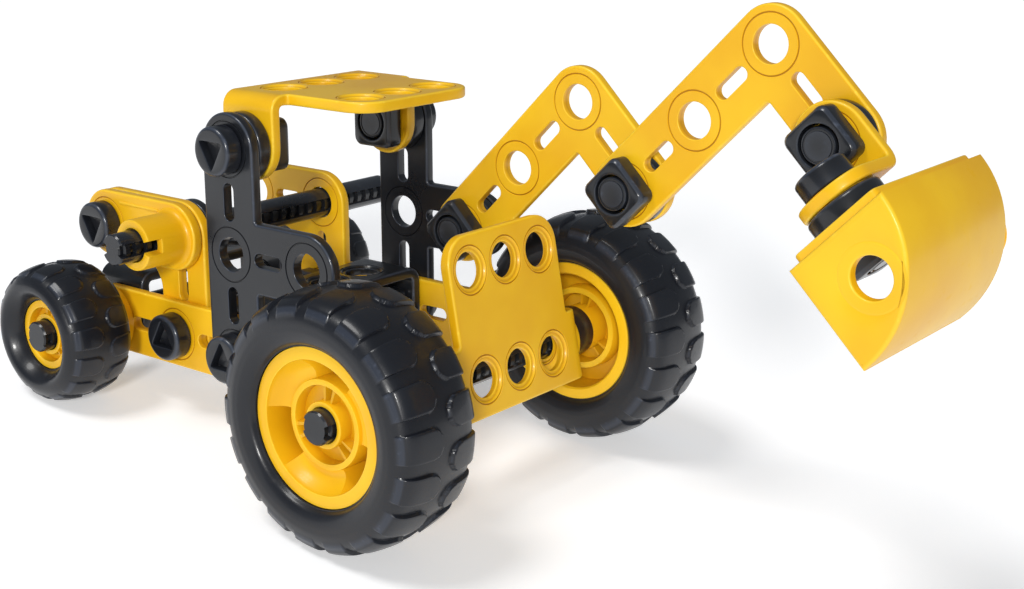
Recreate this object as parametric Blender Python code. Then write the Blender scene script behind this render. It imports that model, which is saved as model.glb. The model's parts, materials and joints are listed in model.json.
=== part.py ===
"""Toy backhoe loader built from punched plastic strips, bolts, nuts, axles and wheels.

The chassis frame has +X towards the digging arm, +Y towards the arm's side plate and +Z up,
with its zero on the line of the two wheel axles.  One empty turns that frame so that the
small front wheels and the large rear wheels all stand on z = 0.  Lengths are metres.
"""
import math

import bmesh
import bpy
from mathutils import Matrix, Vector
from mathutils.geometry import tessellate_polygon

for old in list(bpy.data.objects):
    bpy.data.objects.remove(old, do_unlink=True)

# Strip system shared by every punched plate
PITCH = 0.0254            # hole to hole
STRIP_HALF = 0.0086       # half the width of a strip
SHEET = 0.0027            # thickness of strips, plates and folded brackets
HOLE_R = 0.0042           # bolt and axle holes
SLOT_HALF_WIDTH = 0.0017
SLOT_HALF_LENGTH = 0.0046
GAP = 0.0003              # air between neighbouring pieces
SHARP_R = 0.0008          # square inner corners
HOOD_INNER_R = 0.0072     # swept inner corner of the hood plates

# Fasteners
SHANK_R = HOLE_R - GAP    # bolt shanks and axles run in the same holes
HEAD_R = 0.0059
HEAD_HEIGHT = 0.0046
HEAD_EDGE = 0.0009
RECESS_R = 0.0040         # corner radius of the three-sided driver recess
RECESS_DEPTH = 0.0022
NUT_HALF = 0.0063
NUT_CORNER_R = 0.0020
NUT_HEIGHT = 0.0048
NUT_EDGE = 0.0010
SPACER_R = 0.0084
SPACER = 0.0027           # spacer discs of the arm and the hood axle
ROOF_SPACER = 0.0036
SWIVEL_SPACER = 0.0052

# Cross spacing
CAB_HALF = 0.03185        # centre line to the outer face of a cab side plate
BEND_R = 0.0025           # middle of the sheet in a fold
FOLD_DROP = 0.0124        # outer face of a folded plate down to its tab holes
FOOT_REACH = 0.0140       # outer face of the bucket link to the swivel bolt
FOOT_TIP = 0.0072         # swivel bolt to the tip of the link's foot

# Roof and rear plates
PLATE_HOLE_STEP = 0.0126  # between the holes of a row
PLATE_SIDE_MARGIN = 0.0072
PLATE_END_MARGIN = 0.0082
PLATE_HALF = PLATE_HOLE_STEP + PLATE_SIDE_MARGIN
PLATE_END = PITCH + PLATE_END_MARGIN  # tab hole row to the far edge of the plate
PLATE_CORNER_R = 0.0072
CROSS_HOLE_STEP = 0.0127  # holes along a cross bracket

# Arm pose
ARM_LEAN = math.radians(45.0)
REAR_PLATE_LEAN = math.radians(10.66)
BUCKET_TURN = math.radians(-1.0)

# Lamp boss and cross axle
BOSS_R = 0.0064
BOSS_LENGTH = 0.0120
STUB_REACH = 0.01515      # cross axle's end beyond the cab plates
STUB_LENGTH = CAB_HALF + STUB_REACH
CHANNEL_HALF = 0.0011     # half the width of the long channels in an axle
CHANNEL_DEPTH = 0.0013

# Wheels
REAR_TYRE_R = 0.0295
REAR_TYRE_CLEARANCE = 0.00185  # cab plate to tyre
REAR_TYRE_WIDTH = 0.0239
REAR_TYRE_IN = CAB_HALF + REAR_TYRE_CLEARANCE
REAR_TYRE_OUT = REAR_TYRE_IN + REAR_TYRE_WIDTH
REAR_RIM_R = 0.01795
REAR_RIM_INNER_INSET = 0.0019  # tyre's inner side to the rim's
REAR_RIM_OUTER_INSET = 0.0024  # tyre's outer side to the rim's face
REAR_RIM_IN = REAR_TYRE_IN + REAR_RIM_INNER_INSET
REAR_RIM_OUT = REAR_TYRE_OUT - REAR_RIM_OUTER_INSET
REAR_LIP_R = 0.0150
REAR_AXLE_REACH = 0.0003       # axle's end beyond the rim's face
REAR_AXLE_END = REAR_RIM_OUT + REAR_AXLE_REACH
COLLAR_R = 0.0064
COLLAR_INTO_RIM = 0.0020
COLLAR_END = REAR_RIM_IN + COLLAR_INTO_RIM
FRONT_TYRE_R = 0.0178
FRONT_TYRE_CLEARANCE = 0.00255
FRONT_TYRE_WIDTH = 0.0196
FRONT_TYRE_IN = CAB_HALF + FRONT_TYRE_CLEARANCE
FRONT_TYRE_OUT = FRONT_TYRE_IN + FRONT_TYRE_WIDTH
FRONT_RIM_R = 0.00893
FRONT_RIM_OUTER_INSET = 0.0040
FRONT_RIM_OUT = FRONT_TYRE_OUT - FRONT_RIM_OUTER_INSET
FRONT_LIP_R = 0.0072
FRONT_AXLE_REACH = 0.0028
FRONT_AXLE_END = FRONT_RIM_OUT + FRONT_AXLE_REACH
REAR_RIM_WALL = 0.0018
REAR_RING_R = 0.0094      # ring wall inside the dish
REAR_DISH_DEPTH = 0.0060
REAR_RING_DEPTH = 0.0038
FRONT_RIM_WALL = 0.0014
FRONT_DISH_DEPTH = 0.0040
TYRE_SIDE = ((0.0, 0.12), (0.28, 0.02), (0.60, 0.0), (0.86, 0.07))  # of a tyre's height and width
TYRE_TREAD = (0.24, 0.46)
LUG_HEIGHT = 0.0006
LUGS_ROUND = 16

# Bucket
BUCKET_HALF = 0.0220
BUCKET_TOP = 0.0248       # along the top, mouth corner to back corner
BUCKET_DEPTH = 0.0230     # mouth corner to the cutting lip
BUCKET_WALL = 0.0022
BUCKET_PAD = 0.0017       # raised part of the top under the swivel
BUCKET_PAD_MARGIN = 0.0016
BUCKET_SIDE_HOLE_R = 0.0042
BUCKET_HOLE_ALONG = 0.0130
BUCKET_HOLE_DOWN = 0.0108
BUCKET_SHIFT = 0.0059     # swivel axis to the mouth corner, along the top

# Facets
ROUND_SEGMENTS = 16
WHEEL_SEGMENTS = 32
RIM_SEGMENTS = 24
CORNER_SEGMENTS = 4
FOLD_SEGMENTS = 4
SCOOP_SEGMENTS = 12
MERGE = 1e-7


# Layers from the cab side plates inwards
CAB_INNER = CAB_HALF - SHEET
BEAM_OUTER = CAB_INNER - GAP
BEAM_INNER = BEAM_OUTER - SHEET
FRAME_OUTER = BEAM_INNER - GAP
FRAME_INNER = FRAME_OUTER - SHEET
ROOF_OUTER = CAB_INNER - GAP - ROOF_SPACER - GAP
ROOF_INNER = ROOF_OUTER - SHEET
BOOM_OUTER = CAB_INNER - GAP - SPACER - GAP
BOOM_INNER = BOOM_OUTER - SHEET
STICK_OUTER = BOOM_INNER - GAP - SPACER - GAP
STICK_INNER = STICK_OUTER - SHEET
LINK_OUTER = STICK_INNER - GAP - SPACER - GAP
LINK_INNER = LINK_OUTER - SHEET


def arc(centre, radius, start, end, segments):
    """Points on a circle from one angle to another, both ends included."""
    points = []
    for k in range(segments + 1):
        angle = start + (end - start) * k / segments
        points.append((centre[0] + radius * math.cos(angle), centre[1] + radius * math.sin(angle)))
    return points


def ring(centre, radius, segments=ROUND_SEGMENTS):
    """Closed circle of points."""
    return arc(centre, radius, 0.0, 2.0 * math.pi, segments)[:-1]


def slot(centre, along_first_axis):
    """Closed outline of a straight slot with round ends."""
    reach = SLOT_HALF_LENGTH - SLOT_HALF_WIDTH
    right = arc((reach, 0.0), SLOT_HALF_WIDTH, -math.pi / 2, math.pi / 2, CORNER_SEGMENTS)
    left = arc((-reach, 0.0), SLOT_HALF_WIDTH, math.pi / 2, 1.5 * math.pi, CORNER_SEGMENTS)
    points = right + left
    if not along_first_axis:
        points = [(-b, a) for a, b in points]
    return [(centre[0] + a, centre[1] + b) for a, b in points]


def rounded(corners):
    """Outline through (a, b, radius) corners with every corner turned into an arc."""
    outline = []
    count = len(corners)
    for k in range(count):
        here = Vector(corners[k][:2])
        radius = corners[k][2]
        back = (Vector(corners[k - 1][:2]) - here).normalized()
        ahead = (Vector(corners[(k + 1) % count][:2]) - here).normalized()
        if radius <= 0.0:
            outline.append(tuple(here))
            continue
        half = 0.5 * back.angle(ahead)
        centre = here + (back + ahead).normalized() * radius / math.sin(half)
        first = here + back * radius / math.tan(half) - centre
        last = here + ahead * radius / math.tan(half) - centre
        start = math.atan2(first.y, first.x)
        sweep = math.atan2(first.x * last.y - first.y * last.x, first.dot(last))
        outline.extend(arc(centre, radius, start, start + sweep, CORNER_SEGMENTS))
    kept = []
    for point in outline:
        if not kept or math.dist(point, kept[-1]) > MERGE:
            kept.append(point)
    if math.dist(kept[0], kept[-1]) < MERGE:
        kept.pop()
    return kept


class Shell:
    """Faces of one closed solid, sharing the corners that coincide."""

    def __init__(self):
        self.points = []
        self.index = {}
        self.faces = []

    def corner(self, point):
        key = tuple(round(c / MERGE) for c in point)
        if key not in self.index:
            self.index[key] = len(self.points)
            self.points.append(tuple(point))
        return self.index[key]

    def face(self, points):
        numbers = [self.corner(p) for p in points]
        if len(set(numbers)) == len(numbers):
            self.faces.append(numbers)

    def band(self, first, second, closed=True):
        """Quads between two rows of the same length."""
        count = len(first)
        for k in range(count if closed else count - 1):
            n = (k + 1) % count
            self.face((first[k], first[n], second[n], second[k]))

    def cap(self, loops):
        """Flat face with holes: the first loop is the outside."""
        rows = [[Vector(p) for p in loop] for loop in loops]
        flat = [p for row in rows for p in row]
        for triangle in tessellate_polygon(rows):
            self.face([flat[i] for i in triangle])


def sheet(regions, thickness, bend):
    """Punched sheet: flat regions (outline, holes) given their thickness and bent by bend(u, v, w)."""
    flat = Shell()
    for outline, holes in regions:
        flat.cap([[(u, v, 0.0) for u, v in loop] for loop in [outline] + holes])
    shell = Shell()
    edges = {}
    for face in flat.faces:
        for low in (-0.5, 0.5):
            shell.face([bend(*flat.points[i][:2], low * thickness) for i in face])
        for k in range(len(face)):
            edge = frozenset((face[k], face[(k + 1) % len(face)]))
            edges[edge] = edges.get(edge, 0) + 1
    for edge, uses in edges.items():
        if uses == 1:
            a, b = [flat.points[i][:2] for i in edge]
            low, high = -0.5 * thickness, 0.5 * thickness
            shell.face((bend(*a, low), bend(*b, low), bend(*b, high), bend(*a, high)))
    return shell


def upright(outline, holes):
    """Flat plate standing in the XZ plane, centred on y = 0."""
    return sheet([(outline, holes)], SHEET, lambda u, v, w: (u, w, v))


def lathe(profile, segments, lift=None):
    """Closed (radius, y) profile turned about the Y axis; lift(k, j) adds to a radius."""
    shell = Shell()
    rows = []
    for k in range(segments):
        angle = 2.0 * math.pi * k / segments
        row = []
        for j, (radius, y) in enumerate(profile):
            r = radius + (lift(k, j) if lift else 0.0)
            row.append((r * math.cos(angle), y, r * math.sin(angle)))
        rows.append(row)
    for k in range(segments):
        shell.band(rows[k], rows[(k + 1) % segments])
    return shell


def prism(layers, bores=()):
    """Stacked loops of ((a, b) points, y), closed by flat ends that the straight bores pass."""
    shell = Shell()
    rows = [[(a, y, b) for a, b in loop] for loop, y in layers]
    for low, high in zip(rows, rows[1:]):
        shell.band(low, high)
    first, last = layers[0][1], layers[-1][1]
    shell.cap([rows[0]] + [[(a, first, b) for a, b in bore] for bore in bores])
    shell.cap([rows[-1]] + [[(a, last, b) for a, b in bore] for bore in bores])
    for bore in bores:
        shell.band([(a, first, b) for a, b in bore], [(a, last, b) for a, b in bore])
    return shell


def bolt(grip):
    """Round-headed bolt along +Y: head on the -Y side, its underside at y = 0, shank of length grip."""
    shell = Shell()

    def row(radius, y):
        return [(a, y, b) for a, b in ring((0.0, 0.0), radius)]

    rows = [row(SHANK_R, grip), row(SHANK_R, 0.0), row(HEAD_R, 0.0),
            row(HEAD_R, HEAD_EDGE - HEAD_HEIGHT), row(HEAD_R - HEAD_EDGE, -HEAD_HEIGHT)]
    for low, high in zip(rows, rows[1:]):
        shell.band(low, high)
    shell.cap([rows[0]])
    mouth = [(a, -HEAD_HEIGHT, b) for a, b in ring((0.0, 0.0), RECESS_R, 3)]
    floor = [(a, RECESS_DEPTH - HEAD_HEIGHT, b) for a, b in ring((0.0, 0.0), RECESS_R, 3)]
    shell.cap([rows[-1], mouth])
    shell.band(mouth, floor)
    shell.cap([floor])
    return shell


def square(half):
    """Square outline with round corners."""
    return rounded([(-half, -half, NUT_CORNER_R), (half, -half, NUT_CORNER_R),
                    (half, half, NUT_CORNER_R), (-half, half, NUT_CORNER_R)])


def nut():
    """Square nut: clamping face at y = 0, chamfered face towards +Y."""
    shoulder = NUT_HEIGHT - NUT_EDGE
    layers = [(square(NUT_HALF), 0.0), (square(NUT_HALF), shoulder), (square(NUT_HALF - NUT_EDGE), NUT_HEIGHT)]
    return prism(layers, [ring((0.0, 0.0), HOLE_R)])


def disc(radius, thickness):
    """Round spacer with its bore, from y = 0 towards +Y."""
    outline = ring((0.0, 0.0), radius, ROUND_SEGMENTS)
    return prism([(outline, 0.0), (outline, thickness)], [ring((0.0, 0.0), HOLE_R)])


def axle(low, high):
    """Round axle with a long channel down its front and back, along Y."""
    deep = SHANK_R - CHANNEL_DEPTH
    edge = math.asin(CHANNEL_HALF / SHANK_R)
    upper = arc((0.0, 0.0), SHANK_R, edge, math.pi - edge, ROUND_SEGMENTS // 2)
    lower = arc((0.0, 0.0), SHANK_R, math.pi + edge, 2.0 * math.pi - edge, ROUND_SEGMENTS // 2)
    section = upper + [(-deep, CHANNEL_HALF), (-deep, -CHANNEL_HALF)]
    section = section + lower + [(deep, -CHANNEL_HALF), (deep, CHANNEL_HALF)]
    return prism([(section, low), (section, high)])


def strip_holes(centres):
    return [ring(c, HOLE_R) for c in centres]


def cab_plate():
    """Side plate three holes tall with an arm to one more hole."""
    h = STRIP_HALF
    p = PITCH
    outline = rounded([(-h, -h, h), (h, -h, h), (h, p - h, SHARP_R), (p + h, p - h, h),
                       (p + h, p + h, h), (h, p + h, SHARP_R), (h, 2 * p + h, h), (-h, 2 * p + h, h)])
    holes = strip_holes([(0.0, 0.0), (0.0, p), (0.0, 2 * p), (p, p)])
    slots = [slot((0.0, 0.5 * p), False), slot((0.0, 1.5 * p), False), slot((0.5 * p, p), True)]
    return upright(outline, holes + slots)


def beam():
    """Straight strip of five holes, centred on its middle hole."""
    h = STRIP_HALF
    reach = 2 * PITCH + h
    outline = rounded([(-reach, -h, h), (reach, -h, h), (reach, h, h), (-reach, h, h)])
    holes = strip_holes([(k * PITCH, 0.0) for k in range(-2, 3)])
    slots = [slot(((k + 0.5) * PITCH, 0.0), True) for k in range(-2, 2)]
    return upright(outline, holes + slots)


def hood_plate():
    """L plate on its lower hole: up one pitch, then forward one pitch."""
    h = STRIP_HALF
    p = PITCH
    outline = rounded([(-h, -h, h), (h, -h, h), (h, p + h, h), (-p - h, p + h, h),
                       (-p - h, p - h, h), (-h, p - h, HOOD_INNER_R)])
    holes = strip_holes([(0.0, 0.0), (0.0, p), (-p, p)])
    slots = [slot((0.0, 0.5 * p), False), slot((-0.5 * p, p), True)]
    return upright(outline, holes + slots)


def arm_plate():
    """Right-angled arm: two pitches along +X from the pivot, then one pitch down."""
    h = STRIP_HALF
    p = PITCH
    outline = rounded([(-h, -h, h), (2 * p - h, -h, SHARP_R), (2 * p - h, -p - h, h),
                       (2 * p + h, -p - h, h), (2 * p + h, h, h), (-h, h, h)])
    holes = strip_holes([(0.0, 0.0), (p, 0.0), (2 * p, 0.0), (2 * p, -p)])
    slots = [slot((0.5 * p, 0.0), True), slot((1.5 * p, 0.0), True), slot((2 * p, -0.5 * p), False)]
    return upright(outline, holes + slots)


def lamp_bracket():
    """Two-hole strip with the lamp boss on its rear hole, boss towards -Y."""
    h = STRIP_HALF
    outline = rounded([(-PITCH - h, -h, h), (h, -h, h), (h, h, h), (-PITCH - h, h, h)])
    bolt_hole = ring((-PITCH, 0.0), HOLE_R)
    bore = ring((0.0, 0.0), HOLE_R)
    boss = ring((0.0, 0.0), BOSS_R)
    face = -0.5 * SHEET
    back = 0.5 * SHEET
    tip = face - BOSS_LENGTH
    shell = Shell()

    def row(loop, y):
        return [(a, y, b) for a, b in loop]

    shell.cap([row(outline, face), row(bolt_hole, face), row(boss, face)])
    shell.cap([row(outline, back), row(bolt_hole, back), row(bore, back)])
    shell.cap([row(boss, tip), row(bore, tip)])
    shell.band(row(outline, face), row(outline, back))
    shell.band(row(bolt_hole, face), row(bolt_hole, back))
    shell.band(row(boss, face), row(boss, tip))
    shell.band(row(bore, tip), row(bore, back))
    return shell


def fold(u, w, flat):
    """Across and height of a sheet point folded down past |u| = flat (w is out of the sheet)."""
    past = abs(u) - flat
    side = math.copysign(1.0, u)
    turn = BEND_R * math.pi / 2
    if past <= 0.0:
        return u, w
    if past < turn:
        angle = past / BEND_R
        return side * (flat + (BEND_R + w) * math.sin(angle)), (BEND_R + w) * math.cos(angle) - BEND_R
    return side * (flat + BEND_R + w), turn - BEND_R - past


def folded_regions(flat, tab_side):
    """Fold strips and the round-ended tab on one side of a folded plate, in flat coordinates."""
    h = STRIP_HALF
    turn = BEND_R * math.pi / 2
    hole_at = flat + turn + FOLD_DROP - 0.5 * SHEET - BEND_R
    regions = []
    for k in range(FOLD_SEGMENTS):
        a = flat + turn * k / FOLD_SEGMENTS
        b = flat + turn * (k + 1) / FOLD_SEGMENTS
        regions.append(([(tab_side * a, -h), (tab_side * b, -h), (tab_side * b, h), (tab_side * a, h)], []))
    start = flat + turn
    tip = hole_at + h
    tab = rounded([(start, -h, 0.0), (tip, -h, h), (tip, h, h), (start, h, 0.0)])
    holes = [ring((hole_at, 0.0), HOLE_R)]
    if tab_side < 0:
        tab = [(-a, b) for a, b in tab]
        holes = [[(-a, b) for a, b in loop] for loop in holes]
    regions.append((tab, holes))
    return regions


def six_hole_plate(outer):
    """Plate with two rows of three holes and a folded tab at each end of its first row.

    Local +X runs from the tab row to the far edge, +Z is the outer face's side and the zero is
    the line of the tab holes.
    """
    flat = outer - 0.5 * SHEET - BEND_R
    h = STRIP_HALF
    corner = PLATE_CORNER_R
    web = rounded([(-flat, -h, 0.0), (flat, -h, 0.0), (flat, h, 0.0), (PLATE_HALF, h, SHARP_R),
                   (PLATE_HALF, PLATE_END, corner), (-PLATE_HALF, PLATE_END, corner),
                   (-PLATE_HALF, h, SHARP_R), (-flat, h, 0.0)])
    holes = [ring((k * PLATE_HOLE_STEP, row * PITCH), HOLE_R) for row in (0, 1) for k in (-1, 0, 1)]
    regions = [(web, holes)] + folded_regions(flat, 1) + folded_regions(flat, -1)

    def bend(u, v, w):
        across, height = fold(u, w, flat)
        return v, across, FOLD_DROP - 0.5 * SHEET + height

    return sheet(regions, SHEET, bend)


def cross_bracket(outer):
    """Channel between the beams: a web with three holes and a folded tab at each end."""
    flat = outer - 0.5 * SHEET - BEND_R
    h = STRIP_HALF
    web = [(-flat, -h), (flat, -h), (flat, h), (-flat, h)]
    holes = [ring((k * CROSS_HOLE_STEP, 0.0), HOLE_R) for k in (-1, 0, 1)]
    regions = [(web, holes)] + folded_regions(flat, 1) + folded_regions(flat, -1)

    def bend(u, v, w):
        across, height = fold(u, w, flat)
        return v, across, FOLD_DROP - 0.5 * SHEET + height

    return sheet(regions, SHEET, bend)


def bucket_link():
    """Right-angled bracket: tab hole at the zero, foot at z = -FOLD_DROP reaching towards -Y."""
    h = STRIP_HALF
    reach = FOOT_REACH - 0.5 * SHEET - BEND_R
    tip = -reach - FOOT_TIP
    foot = rounded([(tip, -h, FOOT_TIP), (0.0, -h, 0.0), (0.0, h, 0.0), (tip, h, FOOT_TIP)])
    regions = [(foot, [ring((-reach, 0.0), HOLE_R)])] + folded_regions(0.0, 1)

    def bend(u, v, w):
        across, height = fold(max(u, 0.0), w, 0.0)
        if u <= 0.0:
            across, height = u, w
        top = FOLD_DROP - 0.5 * SHEET
        return v, across - BEND_R, -(top + height)

    return sheet(regions, SHEET, bend)


def bucket():
    """Quarter-round scoop: zero at the swivel bolt on the raised pad, -Z into the scoop."""
    top = -BUCKET_PAD
    near_corner = (-BUCKET_SHIFT, top)
    back_corner = (BUCKET_TOP - BUCKET_SHIFT, top)
    lip = (-BUCKET_SHIFT, top - BUCKET_DEPTH)

    def curve(inset):
        points = []
        for k in range(1, SCOOP_SEGMENTS):
            t = 0.5 * math.pi * k / SCOOP_SEGMENTS
            along = (BUCKET_TOP - inset) * math.cos(t)
            down = (BUCKET_DEPTH - inset) * math.sin(t)
            points.append((near_corner[0] + along, near_corner[1] - down))
        return points

    inner_reach = BUCKET_TOP - BUCKET_WALL
    inner_depth = BUCKET_DEPTH - BUCKET_WALL
    start = math.asin(BUCKET_WALL / inner_depth)
    outer = [near_corner, back_corner] + curve(0.0) + [lip]
    inner = [(near_corner[0], top - BUCKET_WALL)]
    for k in range(SCOOP_SEGMENTS + 1):
        t = start + (0.5 * math.pi - start) * k / SCOOP_SEGMENTS
        inner.append((near_corner[0] + inner_reach * math.cos(t), top - inner_depth * math.sin(t)))
    shell = Shell()
    hole = ring((near_corner[0] + BUCKET_HOLE_ALONG, top - BUCKET_HOLE_DOWN), BUCKET_SIDE_HOLE_R)
    wall = BUCKET_HALF - BUCKET_WALL

    def row(loop, y):
        return [(a, y, b) for a, b in loop]

    for side in (-1, 1):
        shell.cap([row(outer, side * BUCKET_HALF), row(hole, side * BUCKET_HALF)])
        shell.cap([row(inner, side * wall), row(hole, side * wall)])
        shell.band(row(hole, side * BUCKET_HALF), row(hole, side * wall))
    shell.band(row(outer[1:], -BUCKET_HALF), row(outer[1:], BUCKET_HALF), closed=False)
    shell.band(row(inner[1:], -wall), row(inner[1:], wall), closed=False)
    mouth = [(near_corner[0], y, z) for y, z in
             ((-BUCKET_HALF, top), (BUCKET_HALF, top), (BUCKET_HALF, lip[1]), (-BUCKET_HALF, lip[1]))]
    opening = [(near_corner[0], y, z) for y, z in
               ((-wall, inner[0][1]), (wall, inner[0][1]), (wall, inner[-1][1]), (-wall, inner[-1][1]))]
    shell.cap([mouth, opening])

    def flat_ring(x0, x1, y, z):
        return [(x0, -y, z), (x1, -y, z), (x1, y, z), (x0, y, z)]

    pad = (near_corner[0] + BUCKET_PAD_MARGIN, back_corner[0] - BUCKET_PAD_MARGIN, BUCKET_HALF - BUCKET_PAD_MARGIN)
    shell.cap([flat_ring(near_corner[0], back_corner[0], BUCKET_HALF, top), flat_ring(*pad, top)])
    shell.band(flat_ring(*pad, top), flat_ring(*pad, 0.0))
    bore = ring((0.0, 0.0), HOLE_R)
    shell.cap([flat_ring(*pad, 0.0), [(a, b, 0.0) for a, b in bore]])
    ceiling = top - BUCKET_WALL
    shell.cap([flat_ring(inner[0][0], inner[1][0], wall, ceiling), [(a, b, ceiling) for a, b in bore]])
    shell.band([(a, b, 0.0) for a, b in bore], [(a, b, ceiling) for a, b in bore])
    return shell


def tyre(inner_r, outer_r, low, high):
    """Balloon tyre with two staggered rows of tread pads; y runs outwards."""
    wide = high - low
    tall = outer_r - inner_r
    half = list(TYRE_SIDE) + [(1.0, y) for y in TYRE_TREAD]
    shape = half + [(r, 1.0 - y) for r, y in reversed(half)]
    profile = [(inner_r + r * tall, low + y * wide) for r, y in shape]
    first_row = range(len(half) - len(TYRE_TREAD) - 1, len(half))
    second_row = range(len(half), len(half) + len(TYRE_TREAD) + 1)

    def lift(k, j):
        even = (k * 2 * LUGS_ROUND // WHEEL_SEGMENTS) % 2 == 0
        if j in first_row:
            return 0.0 if even else -LUG_HEIGHT
        if j in second_row:
            return -LUG_HEIGHT if even else 0.0
        return 0.0

    return lathe(profile, WHEEL_SEGMENTS, lift)


def rear_rim():
    """Deep dished rim: drum under the tyre, dish, ring wall and hub; y runs outwards."""
    wall = REAR_RIM_WALL
    hub = COLLAR_R - wall / 2
    ring_r = REAR_RING_R
    floor = REAR_RIM_OUT - REAR_DISH_DEPTH
    ring_top = REAR_RIM_OUT - REAR_RING_DEPTH
    profile = [(HOLE_R, REAR_RIM_OUT - wall), (hub, REAR_RIM_OUT - wall), (hub, floor), (ring_r - wall, floor),
               (ring_r - wall, ring_top), (ring_r, ring_top), (REAR_LIP_R, floor), (REAR_LIP_R, REAR_RIM_OUT),
               (REAR_RIM_R, REAR_RIM_OUT), (REAR_RIM_R, REAR_RIM_IN), (REAR_RIM_R - wall, REAR_RIM_IN),
               (REAR_RIM_R - wall, floor - wall), (hub, floor - wall - wall), (hub, COLLAR_END + GAP),
               (HOLE_R, COLLAR_END + GAP)]
    return lathe(profile, RIM_SEGMENTS)


def front_rim():
    """Small rim with a sleeve that reaches in to the beam; y runs outwards."""
    wall = FRONT_RIM_WALL
    hub = HOLE_R + wall
    floor = FRONT_RIM_OUT - FRONT_DISH_DEPTH
    sleeve = BEAM_OUTER + GAP
    rim_in = FRONT_TYRE_IN + wall
    profile = [(HOLE_R, FRONT_RIM_OUT), (hub, FRONT_RIM_OUT), (hub, floor), (FRONT_LIP_R, floor),
               (FRONT_LIP_R, FRONT_RIM_OUT), (FRONT_RIM_R, FRONT_RIM_OUT), (FRONT_RIM_R, rim_in),
               (FRONT_LIP_R, rim_in), (hub, rim_in + wall), (hub, sleeve), (HOLE_R, sleeve)]
    return lathe(profile, RIM_SEGMENTS)


def plastic(name, colour, roughness):
    material = bpy.data.materials.new(name)
    material.use_nodes = True
    shader = material.node_tree.nodes["Principled BSDF"]
    shader.inputs["Base Color"].default_value = colour
    shader.inputs["Roughness"].default_value = roughness
    shader.inputs["Metallic"].default_value = 0.0
    material.diffuse_color = colour
    return material


YELLOW = (0.93, 0.58, 0.035, 1.0)
CHARCOAL = (0.030, 0.033, 0.038, 1.0)
TYRE_BLACK = (0.026, 0.029, 0.035, 1.0)
GLOSS = 0.30
SATIN = 0.38
DULL = 0.55
CREASE = math.radians(28.0)


def make(name, shell, colour, roughness, body, place=(0.0, 0.0, 0.0), turn=(0.0, 0.0, 0.0)):
    """Turn a shell into one named object of its own material under a body empty."""
    mesh = bpy.data.meshes.new(name)
    mesh.from_pydata(shell.points, [], shell.faces)
    work = bmesh.new()
    work.from_mesh(mesh)
    bmesh.ops.recalc_face_normals(work, faces=work.faces)
    work.to_mesh(mesh)
    work.free()
    mesh.shade_smooth()
    mesh.set_sharp_from_angle(angle=CREASE)
    mesh.materials.append(plastic(name + "_material", colour, roughness))
    piece = bpy.data.objects.new(name, mesh)
    bpy.context.collection.objects.link(piece)
    piece.parent = body
    piece.location = place
    piece.rotation_euler = turn
    return piece


def yellow(name, shell, body, place=(0.0, 0.0, 0.0), turn=(0.0, 0.0, 0.0)):
    return make(name, shell, YELLOW, GLOSS, body, place, turn)


def black(name, shell, body, place=(0.0, 0.0, 0.0), turn=(0.0, 0.0, 0.0)):
    return make(name, shell, CHARCOAL, SATIN, body, place, turn)


def body_empty(name, parent, place, turn=(0.0, 0.0, 0.0)):
    empty = bpy.data.objects.new(name, None)
    bpy.context.collection.objects.link(empty)
    empty.parent = parent
    empty.location = place
    empty.rotation_euler = turn
    return empty


def fasten(label, body, x, z, head_y, nut_y, spin=0.0):
    """Bolt from its head's underside at y = head_y to a square nut whose clamping face is at nut_y."""
    side = 1.0 if nut_y > head_y else -1.0
    grip = abs(nut_y - head_y) + NUT_HEIGHT
    facing = 0.0 if side > 0 else math.pi
    black(label + "_bolt", bolt(grip), body, (x, head_y, z), (0.0, spin, facing))
    black(label + "_nut", nut(), body, (x, nut_y, z), (0.0, spin, facing))


# Chassis frame standing on its wheels
axle_rise = math.asin((REAR_TYRE_R - FRONT_TYRE_R) / (4 * PITCH))
boom_at = Vector((PITCH, PITCH))
lean = Matrix(((math.cos(ARM_LEAN), math.sin(ARM_LEAN)), (math.sin(ARM_LEAN), -math.cos(ARM_LEAN))))
stick_at = boom_at + lean @ Vector((2 * PITCH, PITCH))
link_at = stick_at + lean @ Vector((2 * PITCH, PITCH))
foot_at = link_at + lean @ Vector((0.0, FOLD_DROP + GAP + SWIVEL_SPACER + GAP))
front_reach = -2 * PITCH * math.cos(axle_rise) - FRONT_TYRE_R
scoop_reach = []
for step in range(SCOOP_SEGMENTS + 1):
    bearing = 0.5 * math.pi * step / SCOOP_SEGMENTS
    along = BUCKET_TOP * math.cos(bearing) - BUCKET_SHIFT
    turned = along * math.cos(BUCKET_TURN) + BUCKET_HALF * abs(math.sin(BUCKET_TURN))
    point = foot_at + lean @ Vector((turned, BUCKET_PAD + BUCKET_DEPTH * math.sin(bearing)))
    scoop_reach.append(point.x * math.cos(axle_rise) - point.y * math.sin(axle_rise))
middle = 0.5 * (front_reach + max(scoop_reach))
axle_height = 0.5 * (REAR_TYRE_R + FRONT_TYRE_R)
chassis = body_empty("chassis", None, (-middle, 0.0, axle_height), (0.0, -axle_rise, 0.0))

# Side beams, cab side plates and cross brackets
beam_mid = 0.5 * (BEAM_OUTER + BEAM_INNER)
cab_mid = 0.5 * (CAB_HALF + CAB_INNER)
for side, label in ((-1, "left"), (1, "right")):
    yellow(label + "_beam", beam(), chassis, (0.0, side * beam_mid, 0.0))
    black(label + "_cab_plate", cab_plate(), chassis, (0.0, side * cab_mid, 0.0))
    fasten(label + "_cab", chassis, 0.0, 0.0, side * (CAB_HALF + GAP), side * (FRAME_INNER - GAP))
    fasten(label + "_hood_pivot", chassis, -PITCH, 0.0, side * (BEAM_OUTER + GAP), side * (FRAME_INNER - GAP))
black("seat_bracket", cross_bracket(FRAME_OUTER), chassis)
black("front_bracket", cross_bracket(FRAME_OUTER), chassis, (-2 * PITCH, 0.0, 0.0))

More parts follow.
